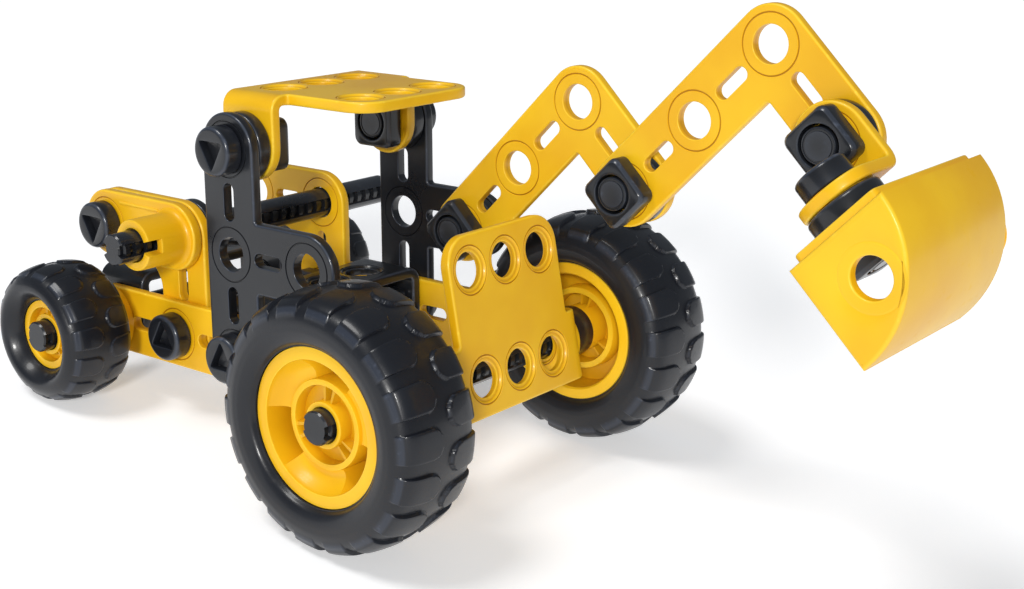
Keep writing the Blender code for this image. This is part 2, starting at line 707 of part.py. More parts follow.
# Hood: two L plates, the lamp bracket and the cross axle, tilting on the two hood bolts
hood = body_empty("hood_body", chassis, (-PITCH, 0.0, 0.0))
hood_mid = 0.5 * (FRAME_OUTER + FRAME_INNER)
for side, label in ((-1, "left"), (1, "right")):
    yellow(label + "_hood_plate", hood_plate(), hood, (0.0, side * hood_mid, 0.0))
yellow("lamp_bracket", lamp_bracket(), hood, (0.0, -beam_mid, PITCH))
fasten("lamp", hood, -PITCH, PITCH, -BEAM_OUTER - GAP, -FRAME_INNER + GAP)
black("cross_axle", axle(-STUB_LENGTH, STUB_LENGTH), hood, (0.0, 0.0, PITCH))
black("axle_collar", disc(SPACER_R, SPACER), hood, (0.0, -FRAME_INNER + GAP, PITCH))

# Roof on its two bolts
roof = body_empty("roof_body", chassis, (0.0, 0.0, 2 * PITCH))
yellow("roof", six_hole_plate(ROOF_OUTER), roof)
for side, label in ((-1, "left"), (1, "right")):
    fasten(label + "_roof", chassis, 0.0, 2 * PITCH, side * (CAB_HALF + GAP), side * (ROOF_INNER - GAP))
    low = min(side * (CAB_INNER - GAP), side * (CAB_INNER - GAP - ROOF_SPACER))
    black(label + "_roof_spacer", disc(SPACER_R, ROOF_SPACER), chassis, (0.0, low, 2 * PITCH))

# Rear plate on the rear axle
rear_plate_body = body_empty("rear_plate_body", chassis, (2 * PITCH, 0.0, 0.0))
upright_turn = (math.pi, -math.pi / 2 - REAR_PLATE_LEAN, 0.0)
yellow("rear_plate", six_hole_plate(ROOF_OUTER), rear_plate_body, turn=upright_turn)

# Digging arm
boom = body_empty("boom_body", chassis, (boom_at.x, 0.0, boom_at.y))
yellow("boom", arm_plate(), boom, (0.0, 0.5 * (BOOM_OUTER + BOOM_INNER), 0.0), (0.0, -ARM_LEAN, 0.0))
fasten("boom_pivot", chassis, boom_at.x, boom_at.y, CAB_HALF + GAP, BOOM_INNER - GAP, ARM_LEAN)
black("boom_spacer", disc(SPACER_R, SPACER), chassis, (boom_at.x, BOOM_OUTER + GAP, boom_at.y))
stick_from_boom = stick_at - boom_at
stick = body_empty("stick_body", boom, (stick_from_boom.x, 0.0, stick_from_boom.y))
yellow("stick", arm_plate(), stick, (0.0, 0.5 * (STICK_OUTER + STICK_INNER), 0.0), (0.0, -ARM_LEAN, 0.0))
fasten("stick_pivot", boom, stick_from_boom.x, stick_from_boom.y, BOOM_OUTER + GAP, STICK_INNER - GAP, ARM_LEAN)
black("stick_spacer", disc(SPACER_R, SPACER), boom, (stick_from_boom.x, STICK_OUTER + GAP, stick_from_boom.y))
link_from_stick = link_at - stick_at
link = body_empty("link_body", stick, (link_from_stick.x, 0.0, link_from_stick.y), (0.0, -ARM_LEAN, 0.0))
yellow("bucket_link", bucket_link(), link, (0.0, LINK_OUTER - 0.5 * SHEET, 0.0))
fasten("bucket_tilt", stick, link_from_stick.x, link_from_stick.y, STICK_OUTER + GAP, LINK_INNER - GAP, ARM_LEAN)
black("tilt_spacer", disc(SPACER_R, SPACER), stick, (link_from_stick.x, LINK_OUTER + GAP, link_from_stick.y))

# Bucket turning on the link's foot
swivel_y = LINK_OUTER - FOOT_REACH
swivel_head = FOLD_DROP - SHEET - GAP
swivel_grip = GAP + SHEET + GAP + SWIVEL_SPACER + GAP + BUCKET_PAD + BUCKET_WALL + GAP
black("swivel_bolt", bolt(swivel_grip + NUT_HEIGHT), link, (0.0, swivel_y, -swivel_head), (-math.pi / 2, 0.0, 0.0))
black("swivel_spacer", disc(SPACER_R, SWIVEL_SPACER), link,
      (0.0, swivel_y, -FOLD_DROP - GAP), (-math.pi / 2, 0.0, 0.0))
black("swivel_nut", nut(), link, (0.0, swivel_y, -swivel_head - swivel_grip), (-math.pi / 2, 0.0, 0.0))
swivel_seat = FOLD_DROP + GAP + SWIVEL_SPACER + GAP
swivel = body_empty("bucket_body", link, (0.0, swivel_y, -swivel_seat), (0.0, 0.0, BUCKET_TURN))
yellow("bucket", bucket(), swivel)

# Wheels and their axles
for x, label, end in ((-2 * PITCH, "front", FRONT_AXLE_END), (2 * PITCH, "rear", REAR_AXLE_END)):
    wheelset = body_empty(label + "_wheels", chassis, (x, 0.0, 0.0), (0.0, axle_rise, 0.0))
    black(label + "_axle", axle(-end, end), wheelset)
    for facing, hand in ((math.pi, "left"), (0.0, "right")):
        turn = (0.0, 0.0, facing)
        if label == "front":
            rim = front_rim()
            band = tyre(FRONT_RIM_R + GAP, FRONT_TYRE_R, FRONT_TYRE_IN, FRONT_TYRE_OUT)
        else:
            rim = rear_rim()
            band = tyre(REAR_RIM_R + GAP, REAR_TYRE_R, REAR_TYRE_IN, REAR_TYRE_OUT)
            collar_length = COLLAR_END - BEAM_OUTER - GAP
            sleeve_at = BEAM_OUTER + GAP if facing == 0.0 else -BEAM_OUTER - GAP
            black(hand + "_rear_collar", disc(COLLAR_R, collar_length), wheelset, (0.0, sleeve_at, 0.0), turn)
        yellow(hand + "_" + label + "_rim", rim, wheelset, turn=turn)
        make(hand + "_" + label + "_tyre", band, TYRE_BLACK, DULL, wheelset, turn=turn)
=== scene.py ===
# %% [markdown]
# # A toy backhoe loader, bolted together from a punched plastic construction set
# The real toy is made of flat yellow and charcoal strips, folded plates, fat bolts with square
# nuts, ribbed axles and moulded wheels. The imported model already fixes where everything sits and
# how it moves. This lesson gives every piece its moulded shape and its plastic, and lights it.

# %% Load the frame
import json
import math

import bmesh
import bpy
import numpy as np
from mathutils import Euler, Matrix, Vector
from mathutils.geometry import delaunay_2d_cdt


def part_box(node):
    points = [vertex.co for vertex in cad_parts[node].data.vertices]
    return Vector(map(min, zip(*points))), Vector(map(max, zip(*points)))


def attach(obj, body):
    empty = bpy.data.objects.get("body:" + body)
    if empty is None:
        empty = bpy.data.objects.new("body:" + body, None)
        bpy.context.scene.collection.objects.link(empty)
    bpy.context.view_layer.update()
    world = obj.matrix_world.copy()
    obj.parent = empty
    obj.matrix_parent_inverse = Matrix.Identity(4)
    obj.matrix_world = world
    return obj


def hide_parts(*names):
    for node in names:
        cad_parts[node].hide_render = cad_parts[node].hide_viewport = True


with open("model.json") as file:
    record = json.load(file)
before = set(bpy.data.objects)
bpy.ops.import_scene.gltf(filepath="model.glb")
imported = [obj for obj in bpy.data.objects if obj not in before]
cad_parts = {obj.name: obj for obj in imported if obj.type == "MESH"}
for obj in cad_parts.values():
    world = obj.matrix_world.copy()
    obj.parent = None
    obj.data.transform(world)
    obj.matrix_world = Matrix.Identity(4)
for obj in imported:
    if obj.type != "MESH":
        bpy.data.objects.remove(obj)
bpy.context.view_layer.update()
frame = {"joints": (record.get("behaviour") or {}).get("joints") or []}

# %% [markdown]
# ## The frame that the toy is built in
# Everything is bolted on one hole spacing, the pitch. The two wheel axles are four pitches apart
# on the same strip, and the strip tilts because the front wheels are smaller. So the joints alone
# give the pitch and the tilt, and a Place turns the toy's own directions into the room's.

# %% Pitch and directions
joints = {joint["name"]: joint for joint in frame["joints"]}


def pivot(name):
    """Where a joint turns, in the room."""
    return np.array(joints[name]["pos_m"])


front_hub = pivot("front_wheels_spin")
rear_hub = pivot("rear_wheels_spin")
PITCH = np.linalg.norm(rear_hub - front_hub) / 4
ACROSS = np.array((0.0, 1.0, 0.0))
along = (rear_hub - front_hub) / (4 * PITCH)
upward = np.cross(along, ACROSS)


class Place:
    """A corner in the room with three directions; calling it moves local points there."""

    def __init__(self, origin, first, second, third):
        self.origin = np.array(origin, float)
        self.axes = np.array((first, second, third), float)

    def __call__(self, points):
        return self.origin + np.asarray(points, float) @ self.axes


def leaned(lean):
    """The directions along and up the toy, turned by an angle that lifts the first."""
    c, s = math.cos(lean), math.sin(lean)
    return c * along + s * upward, c * upward - s * along


def flat_place(origin, lean=0.0):
    """Place of an upright plate: first axis along it, second up it, third across the toy."""
    return Place(origin, *leaned(lean), ACROSS)


toy = flat_place((front_hub + rear_hub) / 2)


def spot(x, z, y=0.0):
    """Room position of a point given in pitches along and up, and metres across."""
    return toy((x * PITCH, z * PITCH, y))


print("pitch %.1f mm, beams rise %.1f degrees" % (PITCH * 1000, math.degrees(math.asin(along[2]))))

# %% [markdown]
# ## One way to make a moulded surface
# A moulded plate is a rounded edge carried round each outline and hole, plus two flat faces. The
# rounded edge is a surface of two parameters: how far round the outline, and how far over the
# edge. Working it out as one array keeps it smooth and cheap, and the flat faces between the
# edges are filled by triangles. Each point also carries a painted light value: a pale painted
# highlight on rounded edges above zero, painted shade in recesses below zero.

# %% Collecting surfaces into one mesh
MERGE = 2e-6
CREASE = math.radians(38.0)


class Moulding:
    """Surfaces of one piece, gathered as arrays and made into one mesh."""

    def __init__(self):
        self.points = []
        self.painted_light = []
        self.faces = []
        self.count = 0

    def add(self, points, faces, painted_light):
        points = np.asarray(points, float).reshape(-1, 3)
        self.points.append(points)
        self.painted_light.append(np.broadcast_to(painted_light, len(points)).astype(float))
        self.faces.extend((np.asarray(faces) + self.count).tolist())
        self.count += len(points)

    def grid(self, surface, goes_round=True, painted_light=0.0):
        """Quads over a (first, second, 3) grid, whose last row joins its first if it goes round."""
        rows, columns = surface.shape[:2]
        a = np.arange(rows if goes_round else rows - 1)[:, None]
        b = np.arange(columns - 1)[None, :]
        c, d = (a + 1) % rows, b + 1
        quads = np.stack([a * columns + b, c * columns + b, c * columns + d, a * columns + d], -1)
        painted_light_map = np.broadcast_to(painted_light, (rows, columns)).reshape(-1)
        self.add(surface.reshape(-1, 3), quads.reshape(-1, 4), painted_light_map)

    def turned(self, angle, radius, height, painted_light=0.0):
        """Surface of revolution about the third axis, from radius and height by angle and row."""
        angle = angle[:, None]
        surface = [radius * np.cos(angle), radius * np.sin(angle), height + 0 * angle]
        self.grid(np.stack(surface, -1), painted_light=painted_light)

    def finish(self, place, node, body, slot, material, crease=CREASE):
        """Move to the place, join the seams, face outwards and stand for the CAD node."""
        mesh = bpy.data.meshes.new(node + "_moulding")
        mesh.from_pydata(place(np.concatenate(self.points)), [], self.faces)
        # Each point's painted light: above zero a pale painted highlight, below zero painted shade.
        painted_light_map = mesh.attributes.new("painted_light_map", "FLOAT", "POINT")
        painted_light_map.data.foreach_set("value", np.concatenate(self.painted_light))
        work = bmesh.new()
        work.from_mesh(mesh)
        bmesh.ops.remove_doubles(work, verts=work.verts, dist=MERGE)
        bmesh.ops.recalc_face_normals(work, faces=work.faces)
        work.to_mesh(mesh)
        work.free()
        mesh.shade_smooth()
        mesh.set_sharp_from_angle(angle=crease)
        mesh.materials.append(material)
        piece = bpy.data.objects.new(node + "_moulding", mesh)
        bpy.context.scene.collection.objects.link(piece)
        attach(piece, body)
        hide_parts(node)


print("seams join within %.0f micrometres" % (MERGE * 1e6))


# %% Outlines and edge profiles
ARC_STEPS = 14
HOLE_STEPS = 56
HOLE_R = 0.0042


def hole_ring(centre):
    """Clockwise circle of a bolt hole, so that the plastic lies on its left."""
    angle = -np.arange(HOLE_STEPS) / HOLE_STEPS * 2 * np.pi
    return np.stack([centre[0] + HOLE_R * np.cos(angle), centre[1] + HOLE_R * np.sin(angle)], 1)


def rounded(corners, steps=ARC_STEPS):
    """Outline through (a, b, radius) corners, each replaced by the arc that touches both sides."""
    parts = []
    for k, (a, b, radius) in enumerate(corners):
        here = np.array((a, b))
        back = np.array(corners[k - 1][:2]) - here
        ahead = np.array(corners[(k + 1) % len(corners)][:2]) - here
        back, ahead = back / np.linalg.norm(back), ahead / np.linalg.norm(ahead)
        half = 0.5 * math.acos(np.clip(back @ ahead, -1, 1))
        middle = (back + ahead) / np.linalg.norm(back + ahead)
        centre = here + middle * radius / math.sin(half)
        first = (here + back * radius / math.tan(half) - centre) / radius
        last = (here + ahead * radius / math.tan(half) - centre) / radius
        start = math.atan2(first[1], first[0])
        sweep = math.atan2(first[0] * last[1] - first[1] * last[0], first @ last)
        angle = start + sweep * np.linspace(0, 1, steps + 1)
        parts.append(centre + radius * np.stack([np.cos(angle), np.sin(angle)], 1))
    loop = np.concatenate(parts)
    apart = np.linalg.norm(loop - np.roll(loop, 1, 0), axis=1) > MERGE
    return loop[apart]


def rectangle(left, right, low, high, radius, steps=ARC_STEPS):
    """Rectangle with round corners."""
    return rounded([(left, low, radius), (right, low, radius), (right, high, radius),
                    (left, high, radius)], steps)


def close_spaced(loop, step):
    """The same outline with its long straight runs cut into steps."""
    parts = []
    for start, end in zip(loop, np.roll(loop, -1, 0)):
        count = max(1, int(np.linalg.norm(end - start) / step))
        parts.append(start + (end - start) * (np.arange(count) / count)[:, None])
    return np.concatenate(parts)


def edge_band(loop, profile, mitred=False):
    """point(s, t) = outline(s) + inset(t) times the direction into the plastic, at height(t)."""
    ahead = np.roll(loop, -1, 0) - loop
    ahead /= np.linalg.norm(ahead, axis=1, keepdims=True)
    tangent = ahead + np.roll(ahead, 1, 0)
    tangent /= np.linalg.norm(tangent, axis=1, keepdims=True)
    inward = np.stack([-tangent[:, 1], tangent[:, 0]], 1)
    if mitred:
        inward /= np.maximum((tangent * ahead).sum(1), 0.5)[:, None]
    surface = np.empty((len(loop), len(profile), 3))
    surface[..., :2] = loop[:, None] + profile[None, :, :1] * inward[:, None]
    surface[..., 2] = profile[:, 1]
    return surface


def mirrored_profile(half, wall=None):
    """Profile from back face to front face, given its front half as (inset, height, painted light);
    a wall value adds a mid-wall row with that painted light.
    """
    half = np.array(half, float)
    middle = [] if wall is None else [(0.0, 0.0, wall)]
    return np.array([*(half[::-1] * (1, -1, 1)), *middle, *half])


print("a hole is", HOLE_STEPS, "points round and a corner", ARC_STEPS)


# %% [markdown]
# ## Punched plates
# Each bolt hole sits in the middle of a fine moulded circle, and short slots lie between the
# holes. A hole's edge profile therefore runs up its wall, over a small rounding, across the flat
# and through the circle's groove before it reaches the open face.

# %% Plate edges
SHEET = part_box("right_beam")[1].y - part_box("right_beam")[0].y
TOP = SHEET / 2
STRIP_HALF = 0.0086
OUTER_ROUND = 0.00062
HOLE_ROUND = 0.00022
ROUND_STEPS = 4
SUPPORT = 0.00016
CIRCLE_R = 0.0069
SUNK_CIRCLE_R = 0.00585
GROOVE_WIDTH = 0.00042
GROOVE_DEPTH = 0.00024
SINK_R = 0.0051
SINK_DEPTH = 0.00055
# Painted shade half way down the walls of holes and slots.
WALL_SHADE = -0.55


def rounding(radius, height, steps=ROUND_STEPS):
    """Quarter-round from the wall (inset 0) to the face (inset radius), with a painted highlight on
    its crown.
    """
    t = np.linspace(0, np.pi / 2, steps + 1)
    inset = radius * (1 - np.cos(t))
    return list(zip(inset, height - radius * (1 - np.sin(t)), np.sin(2 * t)))


def rounded_edge(radius):
    """The rounding, then a first narrow step of face that keeps the shading even."""
    return rounding(radius, TOP) + [(radius + SUPPORT, TOP, 0.0)]


def groove(inset, level):
    """A fine V-sided moulded line, starting at that inset, with painted shade in its bottom and a
    painted highlight on its outer edge.
    """
    low = level - GROOVE_DEPTH
    return [(inset, level, 0.0), (inset + 0.3 * GROOVE_WIDTH, low, -1.0),
            (inset + 0.7 * GROOVE_WIDTH, low, -1.0), (inset + GROOVE_WIDTH, level, 0.35),
            (inset + GROOVE_WIDTH + SUPPORT, level, 0.0)]


def sunk_edge():
    """Hole with a wide sunk rim: wall, flat ledge below the face, a step up, then the circle."""
    ledge = TOP - SINK_DEPTH
    rise = SINK_R - HOLE_R
    half = rounding(HOLE_ROUND, ledge)
    # Painted shade on the sunk ledge, and a painted highlight on the edge of the step up.
    half += [(rise - SUPPORT, ledge, -0.5), (rise, ledge + SUPPORT, -0.3),
             (rise + SUPPORT, TOP - SUPPORT / 2, 0.7), (rise + 2 * SUPPORT, TOP, 0.4)]
    half += groove(SUNK_CIRCLE_R - HOLE_R - GROOVE_WIDTH, TOP)
    return mirrored_profile(half, WALL_SHADE)


OUTER_EDGE = mirrored_profile(rounded_edge(OUTER_ROUND))
SLOT_EDGE = mirrored_profile(rounded_edge(HOLE_ROUND), WALL_SHADE)
HOLE_EDGE = mirrored_profile(
    rounded_edge(HOLE_ROUND) + groove(CIRCLE_R - HOLE_R - GROOVE_WIDTH, TOP), WALL_SHADE)
SUNK_EDGE = sunk_edge()
print("sheet %.1f mm, edge rounding %.2f mm" % (SHEET * 1000, OUTER_ROUND * 1000))


# %% Filling the flat faces
def inside(points, loops):
    """Even-odd test: a point is inside where a ray to its right crosses the loops oddly."""
    crossings = np.zeros(len(points), int)
    for loop in loops:
        a, b = loop, np.roll(loop, -1, 0)
        above = (a[None, :, 1] > points[:, None, 1]) != (b[None, :, 1] > points[:, None, 1])
        rise = np.where(b[:, 1] == a[:, 1], 1.0, b[:, 1] - a[:, 1])
        reach = a[:, 0] + (points[:, None, 1] - a[:, 1]) * (b[:, 0] - a[:, 0]) / rise
        crossings += (above & (points[:, None, 0] < reach)).sum(1)
    return crossings % 2 == 1


def fill(loops, extra=()):
    """Triangles of the flat region between closed loops, through any extra inner points."""
    edges = []
    count = 0
    for loop in loops:
        edges += [(count + k, count + (k + 1) % len(loop)) for k in range(len(loop))]
        count += len(loop)
    flat = np.concatenate([*loops, extra] if len(extra) else loops)
    found = delaunay_2d_cdt([Vector(p) for p in flat], edges, [], 0, MERGE / 4)
    points = np.array([tuple(p) for p in found[0]])
    triangles = np.array([f for f in found[2] if len(f) == 3])
    keep = inside(points[triangles].mean(1), loops)
    return points, triangles[keep]


def cap(made, loops, levels, painted_light=0.0, bend=None, extra=()):
    """Flat faces between closed loops, one at each of the given heights."""
    points, triangles = fill(loops, extra)
    for level in levels:
        face = np.column_stack([points, np.full(len(points), level)])
        made.add(bend(face) if bend else face, triangles, painted_light)


def plate(outline, holes, slots, hole_edge=HOLE_EDGE, bend=None, extra=()):
    """A moulded plate in (u, v, w) coordinates: every edge band, then both flat faces."""
    made = Moulding()
    jobs = [(outline, OUTER_EDGE)]
    jobs += [(hole_ring(centre), hole_edge) for centre in holes]
    jobs += [(slot, SLOT_EDGE) for slot in slots]
    ends = []
    for loop, profile in jobs:
        surface = edge_band(loop, profile)
        ends.append(surface[:, -1, :2])
        made.grid(bend(surface) if bend else surface, painted_light=profile[:, 2])
    if len(extra):
        extra = extra[inside(extra, ends)]
    cap(made, ends, (-TOP, TOP), bend=bend, extra=extra)
    return made


SLOT_HALVES = (0.0046, 0.0017)
SLOT_STEPS = 8


def slot_outline(a, b, lengthways=True):
    """Clockwise stadium round (a, b); its corners are a hair short of meeting."""
    w, h = SLOT_HALVES if lengthways else SLOT_HALVES[::-1]
    r = SLOT_HALVES[1] * 0.999
    corners = [(a - w, b - h, r), (a - w, b + h, r), (a + w, b + h, r), (a + w, b - h, r)]
    return rounded(corners, SLOT_STEPS)


print("slots %.1f mm long" % (2000 * SLOT_HALVES[0]))

# %% [markdown]
# ## Plastics
# There are three plastics: glossy yellow, satin charcoal and the softer charcoal of the tyres.
# Real moulded plastic is never one colour. It has slow flow marks and a fine grain that breaks up
# highlights. Each plastic also paints light into its colour: pale painted highlights on rounded
# edges and painted shade in recesses. A painted texture would need a map for each piece, so each
# plastic is a short expression over noise in object space instead.

# %% A small language for shader maths
class Wire:
    """A shader socket that adds Math nodes when it is used in an expression."""

    def __init__(self, tree, socket=None):
        self.tree = tree
        self.socket = socket

    def make(self, kind, settings=(), sockets=(), output=0):
        node = self.tree.nodes.new(kind)
        for key, value in dict(settings).items():
            setattr(node, key, value)
        for key, value in dict(sockets).items():
            if isinstance(value, Wire):
                self.tree.links.new(value.socket, node.inputs[key])
            else:
                node.inputs[key].default_value = value
        return Wire(self.tree, node.outputs[output])

    def math(self, operation, *values):
        return self.make("ShaderNodeMath", {"operation": operation}, enumerate(values))

    def __add__(self, other):
        return self.math("ADD", self, other)

    def __mul__(self, other):
        return self.math("MULTIPLY", self, other)

    __radd__ = __add__
    __rmul__ = __mul__

    def step(self, low, high):
        """0 below low, 1 above high and smooth between."""
        ends = {"Value": self, "From Min": low, "From Max": high}
        return self.make("ShaderNodeMapRange", {"interpolation_type": "SMOOTHSTEP"}, ends)

    def blend(self, first, second):
        """Colour from first to second as this value goes from 0 to 1."""
        colours = {"Factor": self, 6: first, 7: second}
        return self.make("ShaderNodeMix", {"data_type": "RGBA"}, colours, 2)


print("shader maths: add, multiply, step and blend")

# %% The three plastics
FLOW_SCALE = 38.0
SCUFF_SCALE = 420.0
RIPPLE_SCALE = 700.0
GRAIN_SCALE = 2600.0
BUMP_REACH = 0.00006
COAT_ROUGHNESS = 0.12
PLASTIC_IOR = 1.40


def plastic(name, grimy, deep, main, glint_colour, rough, coat, grain):
    """Flow marks between deep and main, a pale painted highlight on rounded edges, painted shade in
    recesses and a fine grain.
    """
    grimy, deep, main, glint_colour = ((*colour, 1) for colour in (grimy, deep, main, glint_colour))
    material = bpy.data.materials.new(name)
    material.use_nodes = True
    tree = material.node_tree
    shader = tree.nodes["Principled BSDF"]
    wire = Wire(tree)
    where = wire.make("ShaderNodeTexCoord", output=3)

    def noise(scale, detail=2.0, roughness=0.5):
        values = {"Vector": where, "Scale": scale, "Detail": detail, "Roughness": roughness}
        return wire.make("ShaderNodeTexNoise", (), values)

    flow = noise(FLOW_SCALE, 3.0).step(0.30, 0.72)
    scuffs = noise(SCUFF_SCALE, 4.0, 0.62).step(0.56, 0.74)
    fine = noise(GRAIN_SCALE)
    # The painted light value: above zero it lifts rounded edges to a pale painted highlight, broken
    # up by scuffs; below zero it darkens recesses to the colour of painted shade.
    light_paint = wire.make("ShaderNodeAttribute", {"attribute_name": "painted_light_map"}, output=2)
    edge = (light_paint * (0.55 + 0.45 * scuffs)).step(0.0, 1.0)
    painted_shade = (light_paint * -1.0).step(0.0, 1.2)
    colour = painted_shade.blend(edge.blend(flow.blend(deep, main), glint_colour), grimy)
    height = fine + 0.6 * noise(RIPPLE_SCALE, 3.0)
    bump = wire.make("ShaderNodeBump", (),
                     {"Strength": grain, "Distance": BUMP_REACH, "Height": height})
    tree.links.new(colour.socket, shader.inputs["Base Color"])
    tree.links.new((rough + 0.10 * scuffs + 0.05 * flow).socket, shader.inputs["Roughness"])
    tree.links.new(bump.socket, shader.inputs["Normal"])
    shader.inputs["Coat Weight"].default_value = coat
    shader.inputs["Coat Roughness"].default_value = COAT_ROUGHNESS
    shader.inputs["IOR"].default_value = PLASTIC_IOR
    return material


# Each plastic lists a darkest colour for painted shade, two tones for its flow marks and a pale
# colour for painted highlights.
YELLOW = ("yellow_plastic", plastic(
    "glossy_yellow_plastic", grimy=(0.42, 0.17, 0.001), deep=(0.80, 0.42, 0.004),
    main=(0.90, 0.54, 0.010), glint_colour=(0.97, 0.67, 0.05), rough=0.36, coat=0.10, grain=0.16))
BLACK = ("black_plastic", plastic(
    "satin_charcoal_plastic", grimy=(0.003, 0.003, 0.004), deep=(0.008, 0.009, 0.012),
    main=(0.013, 0.015, 0.019), glint_colour=(0.072, 0.088, 0.125), rough=0.27, coat=0.35, grain=0.22))
TYRE = ("tyre", plastic(
    "soft_charcoal_tyre", grimy=(0.003, 0.003, 0.004), deep=(0.007, 0.008, 0.012),
    main=(0.012, 0.014, 0.019), glint_colour=(0.050, 0.062, 0.092), rough=0.33, coat=0.20, grain=0.30))
print("plastics:", YELLOW[0], BLACK[0], TYRE[0])

# %% [markdown]
# ## Flat strips and angled plates
# The beams, the cab sides, the hood sides and both arms are all the same sheet, cut to different
# outlines on the pitch grid. Boxes joined together would leave seams at the angles, so each is
# one outline with its holes and slots, and only those differ.

# %% Outlines of the flat plates
H, P = STRIP_HALF, PITCH
SHARP = 0.0008
SWEPT = 0.0072
ARM_LEAN = math.radians(45.0)
A = H - 0.00008  # the arms keep a hair inside the CAD's faceted ends

beam_outline = rectangle(-2 * P - H, 2 * P + H, -H, H, H)
cab_outline = rounded([(-H, -H, H), (H, -H, H), (H, P - H, SHARP), (P + H, P - H, H),
                       (P + H, P + H, H), (H, P + H, SHARP), (H, 2 * P + H, H),
                       (-H, 2 * P + H, H)])
hood_outline = rounded([(-H, -H, H), (H, -H, H), (H, P + H, H), (-P - H, P + H, H),
                        (-P - H, P - H, H), (-H, P - H, SWEPT)])
arm_outline = rounded([(-A, -A, A), (2 * P - A, -A, SHARP), (2 * P - A, -P - A, A),
                       (2 * P + A, -P - A, A), (2 * P + A, A, A), (-A, A, A)])
shapes = {
    "beam": (beam_outline, [(k * P, 0) for k in range(-2, 3)],
             [slot_outline((k + 0.5) * P, 0) for k in range(-2, 2)]),
    "cab": (cab_outline, [(0, 0), (0, P), (0, 2 * P), (P, P)],
            [slot_outline(0, 0.5 * P, False), slot_outline(0, 1.5 * P, False),
             slot_outline(0.5 * P, P)]),
    "hood": (hood_outline, [(0, 0), (0, P), (-P, P)],
             [slot_outline(0, 0.5 * P, False), slot_outline(-0.5 * P, P)]),
    "arm": (arm_outline, [(0, 0), (P, 0), (2 * P, 0), (2 * P, -P)],
            [slot_outline(0.5 * P, 0), slot_outline(1.5 * P, 0),
             slot_outline(2 * P, -0.5 * P, False)]),
}
print("shapes:", ", ".join("%s %d holes" % (name, len(shapes[name][1])) for name in shapes))


# %% Make the flat plates
def flat_piece(node, shape, body, finish, hub, lean=0.0):
    """A punched plate with its first hole at the hub, in the node's own layer across the toy."""
    low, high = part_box(node)
    place = flat_place((hub[0], 0.5 * (low.y + high.y), hub[2]), lean)
    plate(*shapes[shape]).finish(place, node, body, *finish)


for side in ("left", "right"):
    flat_piece(side + "_beam", "beam", "chassis", YELLOW, spot(0, 0))
    flat_piece(side + "_cab_plate", "cab", "chassis", BLACK, spot(0, 0))
    flat_piece(side + "_hood_plate", "hood", "hood", YELLOW, spot(-1, 0))
flat_piece("boom", "arm", "boom", YELLOW, pivot("boom_swing"), ARM_LEAN)
flat_piece("stick", "arm", "stick", YELLOW, pivot("stick_swing"), ARM_LEAN)
print("flat plates made: 8")

# %% [markdown]
# ## Folded plates
# The roof and the rear plate are one moulding with a tab turned down at each side, and the seat
# and front brackets are short channels. Separate tabs would show a join along the fold, so a
# folded plate is first drawn flat and then bent: a point past the fold line turns round the bend
# radius, and beyond the bend it runs straight down.

# %% Bending a flat plate
BEND_R = 0.0025
TURN = BEND_R * math.pi / 2
FOLD_DROP = 0.0124
FOLD_STEPS = 9
FOLD_COLUMNS = 24
OUTLINE_STEP = 0.0006


def fold_over(past, w):
    """Reach and height of a point past the fold line: its angle is past / bend radius, at most
    90 degrees, and what is left of past runs straight down."""
    angle = np.clip(past, 0, TURN) / BEND_R
    straight = np.maximum(past - TURN, 0)
    return (BEND_R + w) * np.sin(angle), (BEND_R + w) * np.cos(angle) - BEND_R - straight


def folded(points, flat):
    """(u, v, w) bent down on both sides, past |u| = flat."""
    u, v, w = np.moveaxis(points, -1, 0)
    reach, height = fold_over(np.abs(u) - flat, w)
    reach = np.minimum(np.abs(u), flat) + reach
    return np.stack([np.sign(u) * reach, v, FOLD_DROP - TOP + height], -1)


def fold_points(flat, sides=(-1, 1)):
    """Rows of inner points along each fold, so that the flat face can follow the bend."""
    u = flat + TURN * np.linspace(-0.1, 1.1, FOLD_STEPS)
    v = np.linspace(-H, H, FOLD_COLUMNS)
    grid = np.stack(np.meshgrid(u, v), -1).reshape(-1, 2)
    return np.concatenate([grid * (side, 1) for side in sides])


def tab_hole(flat):
    """Where a tab's hole lies in the flat drawing, so that it ends up the fold's drop below."""
    return flat + TURN + FOLD_DROP - TOP - BEND_R


print("bend %.1f mm, tab holes %.1f mm down" % (BEND_R * 1000, FOLD_DROP * 1000))

# %% Make the roof, the rear plate and the two channels
REAR_LEAN = math.radians(10.66)
HOLE_STEP = 0.0126
PLATE_HALF = 0.0198
PLATE_END = 0.0336
PLATE_CORNER = 0.0072
SHOULDERS = [(PLATE_HALF, H, SHARP), (PLATE_HALF, PLATE_END, PLATE_CORNER),
             (-PLATE_HALF, PLATE_END, PLATE_CORNER), (-PLATE_HALF, H, SHARP)]


def folded_piece(node, body, finish, place, rows):
    """One row of holes makes a channel; with two, the plate runs on past its tabs."""
    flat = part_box(node)[1].y - TOP - BEND_R
    hole = tab_hole(flat)
    tip = hole + H
    corners = [(-tip, -H, H), (tip, -H, H), (tip, H, H)]
    corners += (SHOULDERS if rows == 2 else []) + [(-tip, H, H)]
    outline = close_spaced(rounded(corners), OUTLINE_STEP)
    holes = [(k * HOLE_STEP, row * P) for row in range(rows) for k in (-1, 0, 1)]
    holes += [(-hole, 0), (hole, 0)]
    made = plate(outline, holes, [], SUNK_EDGE, lambda p: folded(p, flat), fold_points(flat))
    made.finish(place, node, body, *finish)


